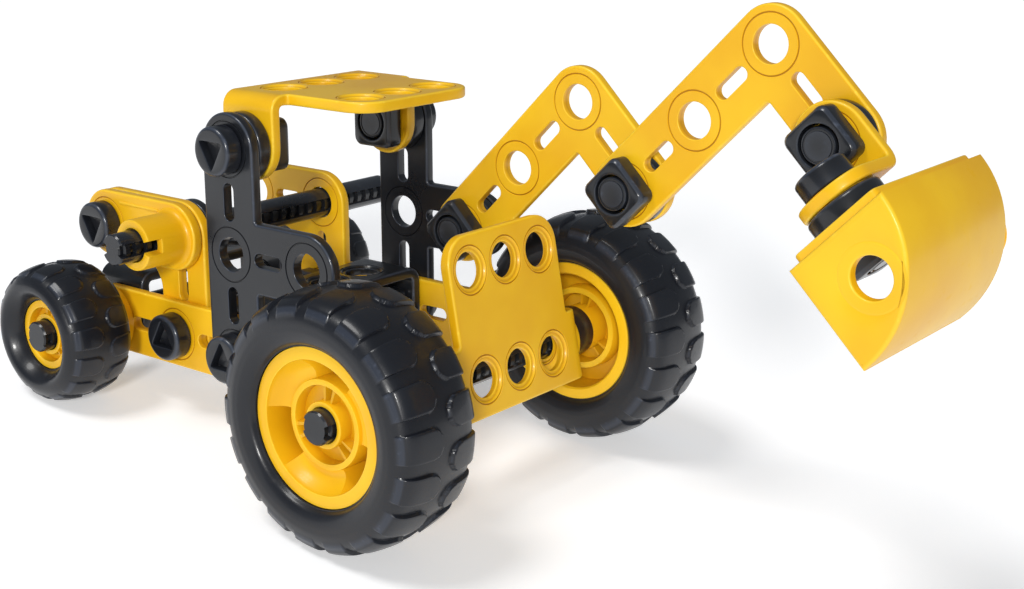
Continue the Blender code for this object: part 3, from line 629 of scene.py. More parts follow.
rear_out, rear_up = leaned(REAR_LEAN)
folded_piece("roof", "roof", YELLOW, Place(pivot("roof_tilt"), ACROSS, along, upward), 2)
folded_piece("rear_plate", "rear_plate", YELLOW,
             Place(pivot("rear_plate_tilt"), ACROSS, rear_up, rear_out), 2)
for node, x in (("seat_bracket", 0), ("front_bracket", -2)):
    folded_piece(node, "chassis", BLACK, Place(spot(x, 0), ACROSS, along, upward), 1)
print("folded plates made: 4")

# %% [markdown]
# ## Bolts, nuts and spacers
# The bolts have fat round heads with a three-sided driver recess. Their ends lie flush in square
# nuts, with a ring of shadow between. Every one is a stack of closed loops at rising heights, and
# a loop can change from a circle to a soft triangle or a soft square as it goes.

# %% Loops that change shape
LOOP_STEPS = 72
turn = np.arange(LOOP_STEPS) / LOOP_STEPS * 2 * np.pi


def soft_polygon(sides, reach, sharpness, apex=0.0):
    """Radius by angle of a polygon with soft corners: a high-power mean over its sides."""
    faces = apex + np.pi / sides + np.arange(sides) * 2 * np.pi / sides
    toward = np.maximum(np.cos(turn[:, None] - faces), 0)
    return reach / (toward ** sharpness).sum(1) ** (1 / sharpness)


def soft_square(half, corner, spin):
    """Radius by angle of a square with round corners: the flat's reach, or the corner circle's."""
    part = np.abs((turn - spin + np.pi / 4) % (np.pi / 2) - np.pi / 4)
    core = half - corner
    along_ray = core * (np.cos(part) + np.sin(part))
    arc = along_ray + np.sqrt(np.maximum(along_ray ** 2 - 2 * core ** 2 + corner ** 2, 0))
    return np.where(half * np.tan(part) > core, arc, half / np.cos(part))


def stack(loops, made=None, angle=turn):
    """Skin through loops of (radius, height, painted light), each one number or a value by angle.
    """
    made = made or Moulding()
    made.turned(angle, *(np.stack([np.broadcast_to(loop[k], len(angle)) for loop in loops], 1)
                         for k in range(3)))
    return made


print("loops of", LOOP_STEPS, "points")

# %% Bolt, nut and spacer shapes
SHANK_R = 0.0039
HEAD_R = 0.0059
HEAD_HEIGHT = 0.0046
HEAD_EDGE = 0.0010
HEAD_EDGE_STEPS = 5
RECESS_R = 0.00235
RECESS_DEPTH = 0.0026
RECESS_SHARPNESS = 9
NUT_HEIGHT = 0.0048
NUT_HALF = 0.0063
NUT_CORNER = 0.0020
NUT_FACE_HALF = NUT_HALF - 0.0008
NUT_FACE_CORNER = 0.0016
NUT_BORE = HOLE_R + 0.0003
BREAK = 0.0003
SPACER_EDGE = 0.0006


def bolt_shape(grip, apex):
    """Heights rise from the clamped face at 0 to the head's top; the shank goes down to -grip.

    The shank's end has a fine ring pressed in it, and the head a soft triangular recess."""
    top = HEAD_HEIGHT
    # The third number of each loop is its painted light: pale painted highlights on the edges of
    # the shank's end, the head's rim and the recess's mouth.
    loops = [(0.0, -grip, 0), (0.0030, -grip, 0.5), (0.0031, -grip + 0.0002, 0),
             (0.0034, -grip + 0.0002, 0), (0.0035, -grip, 0.4), (SHANK_R - BREAK, -grip, 0),
             (SHANK_R - 0.0001, -grip + 0.0001, 0.6), (SHANK_R, -grip + 0.0004, 0.2),
             (SHANK_R, 0.0, 0), (HEAD_R - BREAK, 0.0, 0), (HEAD_R, BREAK, 0.4)]
    loops += [(HEAD_R - inset, height, 0.9 * painted_light)
              for inset, height, painted_light in rounding(HEAD_EDGE, top, HEAD_EDGE_STEPS)]
    tri = soft_polygon(3, RECESS_R, RECESS_SHARPNESS, apex)
    loops += [(HEAD_R - HEAD_EDGE - BREAK, top, 0), (tri + BREAK, top, 0.1),
              (tri + 0.0001, top - 0.00008, 0.6), (tri, top - BREAK, 0.2),
              (tri * 0.96, top - RECESS_DEPTH + BREAK, 0), (0.35 * tri, top - RECESS_DEPTH, 0),
              (0.0, top - RECESS_DEPTH, 0)]
    return stack(loops)


def nut_shape(spin):
    """Square nut: clamping face at 0, chamfered face at the nut's height, open bore."""
    top = NUT_HEIGHT
    body = soft_square(NUT_HALF, NUT_CORNER, spin)
    face = soft_square(NUT_FACE_HALF, NUT_FACE_CORNER, spin)
    # Pale painted highlights on the nut's edges, its chamfer and the bore's rim.
    return stack([
        (NUT_BORE, 0.0, 0), (body - BREAK, 0.0, 0), (body, BREAK, 0.3), (body, top - 0.0011, 0),
        (body - 0.0001, top - 0.0008, 0.7), (face + 0.0002, top - 0.0001, 0.7), (face, top, 0),
        (NUT_BORE + 0.0006, top, 0), (NUT_BORE + BREAK, top, 0.5),
        (NUT_BORE + 0.0001, top - 0.0001, 0.5), (NUT_BORE, top - 0.0004, 0), (NUT_BORE, 0.0, 0)])


def disc_shape(radius, height, edge=SPACER_EDGE):
    """Round spacer with a bore, its two edges rounded alike."""
    flat = radius - edge - 0.0002
    under = [(radius - i, -h, 0.8 * painted_light) for i, h, painted_light in rounding(edge, 0.0)[::-1]]
    over = [(radius - i, h, 0.8 * painted_light) for i, h, painted_light in rounding(edge, height)]
    return stack([(HOLE_R, 0.0, 0), (flat, 0.0, 0), *under, *over,
                  (flat, height, 0), (HOLE_R, height, 0), (HOLE_R, 0.0, 0)])


print("bolt heads %.1f mm, nuts %.1f mm across" % (2000 * HEAD_R, 2000 * NUT_HALF))

# %% Bolts and nuts in their places
GAP = 0.0003
UP, DOWN = math.pi / 2, -math.pi / 2
DIAMOND = math.pi / 4


def side_place(x, z, y, side):
    """Place on a face at y, with heights rising towards that side."""
    return Place(spot(x, z, y), along, upward, side * ACROSS)


def fasten(label, body, x, z, apex=0.0, spin=0.0):
    """Bolt and nut on one line; which way the head faces comes from the CAD boxes."""
    bolt_low, bolt_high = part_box(label + "_bolt")
    nut_low, nut_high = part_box(label + "_nut")
    side = 1 if bolt_low.y + bolt_high.y > nut_low.y + nut_high.y else -1
    tip, top = (bolt_low.y, bolt_high.y)[::side]
    clamp = (nut_low.y, nut_high.y)[side > 0]
    seat = top - side * HEAD_HEIGHT
    bolt = bolt_shape(abs(seat - tip), apex)
    bolt.finish(side_place(x, z, seat, side), label + "_bolt", body, *BLACK)
    nut_shape(spin).finish(side_place(x, z, clamp, -side), label + "_nut", body, *BLACK)


def in_pitches(joint):
    """A joint's place along and up the toy, in pitches."""
    offset = pivot(joint) - toy.origin
    return offset @ along / P, offset @ upward / P


for side in ("left", "right"):
    fasten(side + "_cab", "chassis", 0, 0, UP)
    fasten(side + "_hood_pivot", "chassis", -1, 0, UP)
    fasten(side + "_roof", "chassis", 0, 2, DOWN)
fasten("lamp", "hood", -2, 1, DOWN)
fasten("boom_pivot", "chassis", 1, 1, UP, DIAMOND)
fasten("stick_pivot", "boom", *in_pitches("stick_swing"), UP, DIAMOND)
fasten("bucket_tilt", "stick", *in_pitches("bucket_tilt"), UP, DIAMOND)
print("stick pivot at %.2f, %.2f pitches" % in_pitches("stick_swing"))


# %% Spacers and collars
def spacer(node, body, x, z):
    """A disc as wide and as long as the CAD node."""
    low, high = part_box(node)
    made = disc_shape(0.5 * (high.x - low.x), high.y - low.y)
    made.finish(side_place(x, z, low.y, 1), node, body, *BLACK)


for side in ("left", "right"):
    spacer(side + "_roof_spacer", "chassis", 0, 2)
    spacer(side + "_rear_collar", "rear_wheels", 2, 0)
spacer("boom_spacer", "chassis", 1, 1)
spacer("stick_spacer", "boom", *in_pitches("stick_swing"))
spacer("tilt_spacer", "stick", *in_pitches("bucket_tilt"))
spacer("axle_collar", "hood", -1, 1)
print("spacers and collars made: 8")

# %% [markdown]
# ## Ribbed axles
# The axles are round rods with a deep channel down two sides, crossed by small rungs that key
# the wheels. The rod is a cylinder whose radius drops inside the channel unless a rung is there:
# radius(angle, length) = rod radius - channel depth where in the channel and between rungs.

# %% Make the axles
CHANNEL_HALF = math.radians(24.0)
CHANNEL_WALL = math.radians(2.0)
CHANNEL_DEPTH = 0.0013
CHANNEL_STEPS = 7
CROWN_STEPS = 20
RUNG_STEP = 0.0032
RUNG_HALF = 0.21 * RUNG_STEP
RUNG_SLOPE = 0.0003
RUNG_HEIGHT = 0.62
AXLE_EDGE = 0.0004
BARE_END = 0.0012
AXLE_CREASE = math.radians(30)
SLACK = 1e-6


def axle_piece(node, body, origin, first, third):
    """Rod with rungs evenly spaced about its middle, and a plain length at each end."""
    low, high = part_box(node)
    span = (high.y - low.y) / 2
    brink = CHANNEL_HALF + CHANNEL_WALL
    inner = np.linspace(-CHANNEL_HALF, CHANNEL_HALF, CHANNEL_STEPS)
    side = np.concatenate([[-brink], inner, [brink]])
    crown = np.linspace(brink, math.pi - brink, CROWN_STEPS)[1:-1]
    angle = np.concatenate([side, crown, side + math.pi, crown + math.pi])
    count = int(2 * span / RUNG_STEP)
    starts = (np.arange(count) - count / 2 + 0.5) * RUNG_STEP
    foot = RUNG_HALF + RUNG_SLOPE
    rungs = (starts[:, None] + np.array([-foot, -RUNG_HALF, RUNG_HALF, foot])).reshape(-1)
    rungs = rungs[np.abs(rungs) < span - BARE_END]
    y = np.concatenate([[-span, -span + AXLE_EDGE], rungs, [span - AXLE_EDGE, span]])
    nearest = np.abs((y / RUNG_STEP + count / 2) % 1 - 0.5) * RUNG_STEP
    on_rung = np.clip((foot - nearest) / RUNG_SLOPE, 0, 1)
    in_channel = np.abs((angle + math.pi / 2) % math.pi - math.pi / 2) <= CHANNEL_HALF + SLACK
    depth = in_channel[:, None] * CHANNEL_DEPTH * (1 - RUNG_HEIGHT * on_rung[None])
    ends = np.where(np.abs(y) == span, AXLE_EDGE * 0.8, 0.0)
    radius = SHANK_R - depth - ends[None]
    made = Moulding()
    # A pale painted highlight on the rod's round crowns, none in its channels.
    made.turned(angle, radius, y, painted_light=0.35 * (1 - in_channel)[:, None])
    surface = made.points[0].reshape(len(angle), len(y), 3)
    for end in (0, -1):
        cap(made, [surface[:, end, :2]], [y[end]], 0.1)
    made.finish(Place(origin, first, third, ACROSS), node, body, *BLACK, crease=AXLE_CREASE)


FORWARD, ABOVE = (1, 0, 0), (0, 0, 1)
axle_piece("cross_axle", "hood", spot(-1, 1), along, upward)
axle_piece("front_axle", "front_wheels", front_hub, FORWARD, ABOVE)
axle_piece("rear_axle", "rear_wheels", rear_hub, FORWARD, ABOVE)
print("axles made: 3, rungs every %.1f mm" % (RUNG_STEP * 1000))

# %% [markdown]
# ## Lamp bracket
# A two-hole strip carries a hollow boss, which the cross axle pokes out of. The boss swells into
# the strip with a soft fillet, and a square notch is cut from its mouth on the cab side.

# %% Make the lamp bracket
BOSS_R = 0.0064
BOSS_STEPS = 60
BOSS_ROOT = TOP - 0.0004
BOSS_FILLET = 0.0016
BOSS_RIM = 0.00045
NOTCH_HALF = math.radians(17.0)
NOTCH_STEPS = 9
NOTCH_DEPTH = 0.0040
NOTCH_WALL = 0.01
RIB_ENDS = (-0.78, -0.18)
RIB_EDGES = (H - 0.0030, H - 0.0022)
RIB_R = 0.0003
RIB_TOP = TOP + 0.0002

made = plate(rectangle(-P - H, H, -H, H, H), [(-P, 0), (0, 0)], [])
low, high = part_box("lamp_bracket")
brink = NOTCH_HALF + NOTCH_WALL
angle = np.concatenate([np.linspace(brink, 2 * np.pi - brink, BOSS_STEPS),
                        np.linspace(-NOTCH_HALF, NOTCH_HALF, NOTCH_STEPS)])
notched = np.abs((angle + np.pi) % (2 * np.pi) - np.pi) <= NOTCH_HALF + SLACK
mouth = high.y - low.y - TOP - NOTCH_DEPTH * notched
foot = BOSS_R + BOSS_FILLET
rows = [(foot, BOSS_ROOT, 0)]
rows += [(foot - BOSS_FILLET * math.sin(a),
          BOSS_ROOT + 0.0003 + BOSS_FILLET * (1 - math.cos(a)), 0)
         for a in np.linspace(0, np.pi / 2, 6)]
# Pale painted highlights on the rims of the boss's mouth.
rows += [(BOSS_R, mouth - BOSS_RIM, 0.1), (BOSS_R - 0.3 * BOSS_RIM, mouth - 0.3 * BOSS_RIM, 0.8),
         (BOSS_R - BOSS_RIM, mouth, 0.3), (HOLE_R + BOSS_RIM, mouth, 0.3),
         (HOLE_R + 0.3 * BOSS_RIM, mouth - 0.3 * BOSS_RIM, 0.8),
         (HOLE_R, mouth - BOSS_RIM, 0.1), (HOLE_R, BOSS_ROOT, 0), (foot, BOSS_ROOT, 0)]
stack(rows, made, angle)
rib = rectangle(RIB_ENDS[0] * P, RIB_ENDS[1] * P, *RIB_EDGES, RIB_R, 4)
# A pale painted highlight on the rib's edge and top.
rib_edge = np.array([(0.0, TOP - 0.0002, 0), (0.0, TOP + 0.0001, 0.5), (0.00015, RIB_TOP, 0.5)])
band = edge_band(rib, rib_edge)
made.grid(band, painted_light=rib_edge[:, 2])
cap(made, [band[:, -1, :2]], [RIB_TOP], 0.2)
made.finish(side_place(-1, 1, high.y - TOP, -1), "lamp_bracket", "hood", *YELLOW)
print("lamp boss %.1f mm across" % (2000 * BOSS_R))

# %% [markdown]
# ## Bucket link and bucket
# The link is a small right-angled bracket: its tab bolts to the stick and its foot holds the
# bucket's swivel. The bucket is a quarter-round scoop with flat cheeks, a raised pad on top and a
# round window in each cheek. Its cheeks are plates and its back is a surface swept across.

# %% Make the bucket link
FOOT_REACH = 0.0140
FOOT_TIP = 0.0072
link_along, link_up = leaned(ARM_LEAN)


def link_bend(points):
    """(u, v, w): the foot stays flat for u < 0, and u > 0 turns up into the tab."""
    u, v, w = np.moveaxis(points, -1, 0)
    reach, height = fold_over(u, w)
    return np.stack([v, np.minimum(u, 0) + reach - BEND_R, -(FOLD_DROP - TOP + height)], -1)


reach = FOOT_REACH - TOP - BEND_R
hole = tab_hole(0.0)
tip = reach + FOOT_TIP
outline = close_spaced(rounded([(-tip, -H, FOOT_TIP), (hole + H, -H, H), (hole + H, H, H),
                                (-tip, H, FOOT_TIP)]), OUTLINE_STEP)
made = plate(outline, [(-reach, 0), (hole, 0)], [], bend=link_bend, extra=fold_points(0.0, (1,)))
link_hub = pivot("bucket_tilt")
link_hub[1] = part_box("bucket_link")[1].y - TOP
made.finish(Place(link_hub, link_along, ACROSS, link_up), "bucket_link", "bucket_link", *YELLOW)
print("link foot reaches %.1f mm" % (FOOT_REACH * 1000))

# %% Make the swivel
BUCKET_PAD = 0.0017
BUCKET_WALL = 0.0022
SWIVEL_SPACER_R = 0.0084
SWIVEL_SPACER_EDGE = 0.0009
swivel = pivot("bucket_swivel")
foot_up = (pivot("bucket_tilt") - swivel) @ link_up - FOLD_DROP
nut_drop = BUCKET_PAD + BUCKET_WALL + GAP


def swivel_piece(made, node, up, side=1):
    """A round piece on the swivel's line, that far above the bucket's pad."""
    place = Place(swivel + up * link_up, link_along, side * ACROSS, side * link_up)
    made.finish(place, node, "bucket_link", *BLACK)


seat_up = foot_up + SHEET + GAP
swivel_piece(bolt_shape(seat_up + nut_drop + NUT_HEIGHT, 0.0), "swivel_bolt", seat_up)
swivel_piece(disc_shape(SWIVEL_SPACER_R, foot_up - 2 * GAP, SWIVEL_SPACER_EDGE),
             "swivel_spacer", GAP)
swivel_piece(nut_shape(0.0), "swivel_nut", -nut_drop, -1)
print("swivel spacer %.1f mm" % ((foot_up - 2 * GAP) * 1000))

# %% Outlines of the bucket
BUCKET_HALF = 0.0220
BUCKET_TOP = 0.0248
BUCKET_DEPTH = 0.0230
BUCKET_SHIFT = 0.0059
BUCKET_EDGE = 0.0009
BUCKET_CREASE = math.radians(50)
INNER_TOP = BUCKET_TOP - BUCKET_WALL
INNER_DEPTH = BUCKET_DEPTH - BUCKET_WALL
INNER_HALF = BUCKET_HALF - BUCKET_WALL
INSIDE_CAD = 0.00004  # a hair inside the CAD's faceted back
WINDOW = (0.0130, -0.0108)


def scoop(a_reach, b_reach, start=0.0, steps=40):
    """Quarter ellipse about the mouth corner, from the top's back end to the lip."""
    t = np.linspace(start, np.pi / 2, steps)
    return np.stack([a_reach * np.cos(t), -b_reach * np.sin(t)], 1)


def distinct(loop):
    """The outline without points that fall on the one before."""
    return loop[np.linalg.norm(loop - np.roll(loop, 1, 0), axis=1) > MERGE]


back = np.concatenate([[(0.0, 0.0)], scoop(BUCKET_TOP - INSIDE_CAD, BUCKET_DEPTH - INSIDE_CAD)])
lining = np.concatenate([[(0.0, -BUCKET_WALL)],
                         scoop(INNER_TOP, INNER_DEPTH, math.asin(BUCKET_WALL / INNER_DEPTH))])
outline = close_spaced(distinct(np.roll(back[::-1], 1, 0)), 2 * OUTLINE_STEP)
# Pale painted highlights on the cheeks' rounded edges and round each window.
cheek_edge = rounding(BUCKET_EDGE, BUCKET_HALF, 5)
cheek_edge = np.array(cheek_edge + [(BUCKET_EDGE + SUPPORT, BUCKET_HALF, 0)])
cheek_edge[:, 2] *= 0.9
window_edge = np.array([(0.0, -BUCKET_WALL, 0)] + rounding(0.0005, 0.0) + [
    (0.0022, 0.0, 0), (0.0023, 0.0, 0.4), (0.0026, -0.00012, 0.2), (0.0027, -0.00012, 0),
    (0.0029, 0.0, 0)])
print("bucket outline has", len(outline), "points")

# %% Bucket cheeks, back, lining and lip
made = Moulding()
for side in (-1, 1):
    rim = edge_band(outline, cheek_edge * (1, side, 1), mitred=True)
    made.grid(rim, painted_light=cheek_edge[:, 2])
    window = edge_band(hole_ring(WINDOW), window_edge * (1, side, 1))
    window[..., 2] += side * BUCKET_HALF
    made.grid(window, painted_light=window_edge[:, 2])
    cap(made, [rim[:, -1, :2], window[:, -1, :2]], [side * BUCKET_HALF])
    cap(made, [distinct(lining[::-1]), window[:, 0, :2]], [side * INNER_HALF])
for run, half in ((back, BUCKET_HALF - BUCKET_EDGE), (lining, INNER_HALF)):
    skin = np.empty((len(run), 2, 3))
    skin[..., :2] = run[:, None]
    skin[..., 2] = (-half, half)
    made.grid(skin, goes_round=False)


def mouth_loop(top, bottom, half):
    return np.array([(0, top, -half), (0, top, half), (0, bottom, half), (0, bottom, -half)], float)


made.grid(np.stack([mouth_loop(0, -BUCKET_DEPTH, BUCKET_HALF - BUCKET_EDGE),
                    mouth_loop(-BUCKET_WALL, -INNER_DEPTH, INNER_HALF)], 1))
print("bucket shell of", len(made.faces), "faces")

# %% Bucket pad, and the bucket's place
PAD_MARGIN = 0.0016
PAD_CORNER = 0.0015
PAD_EDGE_R = 0.0005
PAD_GROOVE = 0.0027
BUCKET_TURN = math.radians(-1.0)


def upright(points):
    """The pad is drawn in plan, and its height is the bucket's second direction."""
    return points[..., [0, 2, 1]]


wide = BUCKET_HALF - PAD_MARGIN
pad = rectangle(PAD_MARGIN, BUCKET_TOP - PAD_MARGIN, -wide, wide, PAD_CORNER, 6)
pad_edge = np.array([(0.0, -0.0003, 0)] + rounding(PAD_EDGE_R, BUCKET_PAD)
                    + [(PAD_EDGE_R + SUPPORT, BUCKET_PAD, 0)])
bore_edge = np.array([(0.0, -BUCKET_WALL, 0)] + rounding(HOLE_ROUND, BUCKET_PAD)
                     + groove(PAD_GROOVE, BUCKET_PAD))
pad_band = edge_band(pad, pad_edge)
bore_band = edge_band(hole_ring((BUCKET_SHIFT, 0.0)), bore_edge)
made.grid(upright(pad_band), painted_light=pad_edge[:, 2])
made.grid(upright(bore_band))
cap(made, [pad_band[:, -1, :2], bore_band[:, -1, :2]], [BUCKET_PAD], bend=upright)
c, s = math.cos(BUCKET_TURN), math.sin(BUCKET_TURN)
bucket_along = c * link_along + s * ACROSS
bucket_across = c * ACROSS - s * link_along
mouth_corner = swivel - BUCKET_SHIFT * bucket_along - BUCKET_PAD * link_up
place = Place(mouth_corner, bucket_along, link_up, bucket_across)
made.finish(place, "bucket", "bucket", *YELLOW, crease=BUCKET_CREASE)
print("bucket %.1f mm wide" % (2000 * BUCKET_HALF))

# %% [markdown]
# ## Wheels
# The tyres are balloon tyres with two staggered rows of tongue-shaped pads. The section is a
# smooth curve through a few points, given as shares of the half width and of the height above the
# rim. Pads built as separate blocks would need joining to the curved tread, so the pads raise the
# tyre's own surface, wherever the distance to a tongue's outline is negative.

# %% Tyre sections
PAD_HEIGHT = 0.0009
PAD_EDGE = 0.00034
PAD_SHARE = 0.335
TONGUE_ROUND = 0.94
SHOULDER_STEP = 0.0016
SHOULDER_DROP = 0.38
REAR_SECTION = [(0.82, 0.0), (0.93, 0.10), (1.0, 0.34), (0.985, 0.56), (0.90, 0.77),
                (0.72, 0.905), (0.38, 0.975), (0.0, 1.0)]
FRONT_SECTION = [(0.62, 0.0), (0.78, 0.10), (0.95, 0.28), (1.0, 0.45), (0.94, 0.65), (0.80, 0.82),
                 (0.58, 0.925), (0.30, 0.985), (0.0, 1.0)]

def smooth_curve(points, count):
    """Catmull-Rom curve through the points, then points evenly spaced along its length."""
    p = np.concatenate([[2 * points[0] - points[1]], points, [2 * points[-1] - points[-2]]])
    t = np.linspace(0, 1, 24, endpoint=False)[:, None, None]
    a, b, c, d = p[:-3], p[1:-2], p[2:-1], p[3:]
    dense = 0.5 * (2 * b + (c - a) * t + (2 * a - 5 * b + 4 * c - d) * t ** 2
                   + (3 * b - 3 * c + d - a) * t ** 3)
    dense = np.concatenate([dense.transpose(1, 0, 2).reshape(-1, 2), points[-1:]])
    length = np.concatenate([[0], np.cumsum(np.linalg.norm(np.diff(dense, axis=0), axis=1))])
    even = np.linspace(0, length[-1], count)
    return np.stack([np.interp(even, length, dense[:, k]) for k in (0, 1)], 1), even


def box_distance(x, y, half_x, half_y, corner):
    """Signed distance to a box with round corners: negative inside."""
    dx = np.abs(x) - half_x + corner
    dy = np.abs(y) - half_y + corner
    outside = np.hypot(np.maximum(dx, 0), np.maximum(dy, 0))
    return outside + np.minimum(np.maximum(dx, dy), 0) - corner


def pad_lift(local, lateral, start, stop, half):
    """1 on a pad, 0 off it: a tongue round towards the middle and cut square at the shoulder,
    with a lower step along its square end."""
    reach = stop + 2 * half
    tongue = box_distance(local, lateral - (start + reach) / 2, half, (reach - start) / 2,
                          TONGUE_ROUND * half)
    shape = np.maximum(tongue, lateral - stop)
    lift = np.clip(0.5 - shape / PAD_EDGE, 0, 1)
    step = np.clip((lateral - stop + SHOULDER_STEP) / PAD_EDGE, 0, 1)
    return lift * lift * (3 - 2 * lift) * (1 - SHOULDER_DROP * step)


print("pads %.1f mm high" % (PAD_HEIGHT * 1000))

# %% Tyres
REAR_TYRE_R = 0.0295
BEAD_LAP = 0.0002
# Painted light on the tyres: a highlight along the pads' edges, and painted shade on the tread
# between the pads, fading out over the last few millimetres towards the rim.
EDGE_GLINT = 3.2
PAD_GAP_SHADE = 0.25
SHADE_REACH = 0.004
TYRE_CREASE = math.radians(50)


def tyre_piece(node, body, hub, section, pads, around, across, start, stop):
    """The section swept round the hub; the far row of pads is half a pad on from the near one."""
    low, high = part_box(node)
    outer_r = 0.5 * (high.z - low.z)
    half_width = (high.y - low.y) / 2
    rim_low, rim_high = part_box(node.replace("tyre", "rim"))
    bead_r = 0.5 * (rim_high.z - rim_low.z) + GAP
    height = PAD_HEIGHT * outer_r / REAR_TYRE_R
    side = np.array(section) * (half_width, outer_r - height - bead_r) + (0, bead_r)
    both = np.concatenate([side, side[-2::-1] * (-1, 1)])
    curve, along_it = smooth_curve(both, across)
    curve[:, 0] = np.clip(curve[:, 0], -half_width, half_width)
    lateral = along_it[-1] / 2 - along_it
    theta = np.arange(around) / around * 2 * np.pi
    period = 2 * np.pi / pads
    half = PAD_SHARE * period * outer_r
    lift = np.zeros((around, across))
    for row, shift in ((1, 0.0), (-1, 0.5)):
        local = ((theta / period + shift) % 1 - 0.5) * period * outer_r
        lift = np.maximum(lift, pad_lift(local[:, None], row * lateral[None], start, stop, half))
    radius = curve[:, 1] + height * lift
    made = Moulding()
    # Painted highlight on the pads' edges, painted shade between the pads.
    open_wall = np.clip(curve[:, 1] - bead_r, 0, SHADE_REACH) / SHADE_REACH
    made.turned(theta, radius, curve[:, 0],
                painted_light=EDGE_GLINT * lift * (1 - lift) - PAD_GAP_SHADE * (lift == 0) * open_wall)
    seat_r = np.full(around, bead_r - BEAD_LAP)
    made.turned(theta, np.stack([radius[:, 0], seat_r, seat_r, radius[:, -1]], 1),
                curve[[0, 0, -1, -1], 0])
    place = Place((hub[0], 0.5 * (low.y + high.y), hub[2]), ABOVE, FORWARD, ACROSS)
    made.finish(place, node, body, *TYRE, crease=TYRE_CREASE)


for side in ("left", "right"):
    tyre_piece(side + "_rear_tyre", "rear_wheels", rear_hub, REAR_SECTION,
               pads=18, around=720, across=121, start=0.0014, stop=0.0128)
    tyre_piece(side + "_front_tyre", "front_wheels", front_hub, FRONT_SECTION,
               pads=14, around=560, across=97, start=0.0010, stop=0.0088)
print("tyres made: 4")

# %% [markdown]
# ## Rims
# A rim is a flat flange round a dish, with a hub ring that the axle keys into. The rear rims are
# deep: three bowl-shaped lobes come down from the flange to a middle disc, and between them three
# pockets go right down inside the drum. Depth is a function of radius and angle.

# %% Rings and lobes
BLEND = math.radians(1.2)
ROLL = 0.0004
AROUND = 432
STEP_IN = 0.0001
rim_turn = np.arange(AROUND) / AROUND * 2 * np.pi


def lobes(centre, width, count=3):
    """1 inside each of count equal lobes of that width and 0 between, with steep flanks."""
    period = 2 * np.pi / count
    away = np.abs((rim_turn - centre + period / 2) % period - period / 2)
    return np.clip((width / 2 - away) / BLEND + 0.5, 0, 1)[:, None]


def ledge(inner, outer, depth):
    """Rows (radius, depth, painted light) of a flat ring with both its edges rolled over, each roll
    with a painted highlight.
    """
    low, rolled = depth + ROLL, depth + 0.25 * ROLL
    return [(inner, low, 0), (inner + 0.25 * ROLL, rolled, 0.9), (inner + ROLL, depth, 0),
            (outer - ROLL, depth, 0), (outer - 0.25 * ROLL, rolled, 0.9), (outer, low, 0)]


def between(inner, outer, depth, painted_light, count):
    """Rows of a plain ring that starts and stops just clear of its neighbours."""
    return [(r, depth, painted_light) for r in np.linspace(inner + STEP_IN, outer - STEP_IN, count)]


print("rims have", AROUND, "points round")

# %% Rims
LOBE_TURN = math.radians(27.0)
LOBE_WIDTH = math.radians(70.0)
RIB_TURNS = (LOBE_TURN + np.pi / 3 + 0.17, LOBE_TURN + np.pi / 3 - 0.17)
RIB_WIDTH = 0.12
RIB_SINK = 0.0005
BOWL_POWER = 1.7
BOWL_LIP = 0.0005
BOWL_SWELL = 0.0007
FLOOR_SHEET = 0.0012
HUB_WALL = 0.0020
BACK_RING = ((0.0110, 0.0108, 0.0106), (0.0088, 0.0090, 0.0092))
BACK_RING_INSET = 0.0040
BACK_RIB_INSET = 0.0050
BACK_RIB_ROOM = 0.0060
# Painted shade: deepest in the pockets, faint in the bowls, and on the floor behind the dish.
POCKET_SHADE = -0.75
BOWL_SHADE = -0.12
BACK_SHADE = -0.6
RIM_CREASE = math.radians(32)
ribs = np.maximum(*[lobes(turned, RIB_WIDTH) for turned in RIB_TURNS])
lobe = lobes(LOBE_TURN, LOBE_WIDTH)


def front_rows(lip, outer, hub_ring, recess, middle_ring, bowl, pocket):
    """Depth under the flange by radius and angle; only the lobes carry the bowls."""
    rows = ledge(HOLE_R - STEP_IN, *hub_ring)
    ribbed = slice(len(rows), len(rows) + 6)
    # Painted shade in the recess round the hub ring.
    rows += between(hub_ring[0], middle_ring[0] if middle_ring else lip, recess, -0.5, 6)
    rows += ledge(*middle_ring) if middle_ring else []
    dished = slice(len(rows), len(rows) + (18 if middle_ring else 0))
    rows += between(middle_ring[1], lip, 0, 0, 18) if middle_ring else []
    rows = np.array(rows + ledge(lip, outer, 0.0))
    depth, painted_light = np.tile(rows[:, 1], (AROUND, 1)), np.tile(rows[:, 2], (AROUND, 1))
    rib_top = (middle_ring[2] if middle_ring else hub_ring[1]) + RIB_SINK
    depth[:, ribbed] += (rib_top - recess) * ribs
    if middle_ring:
        r = rows[dished, 0]
        t = (r - r[0]) / (lip - r[0])
        dish = bowl * (1 - t ** BOWL_POWER) + BOWL_LIP + BOWL_SWELL * np.sin(np.pi * t)
        depth[:, dished] = lobe * dish + (1 - lobe) * pocket
        # Painted shade, faint in the bowls and deep in the pockets between them.
        painted_light[:, dished] = BOWL_SHADE * lobe + POCKET_SHADE * (1 - lobe)
    return rows[:, 0], depth, painted_light


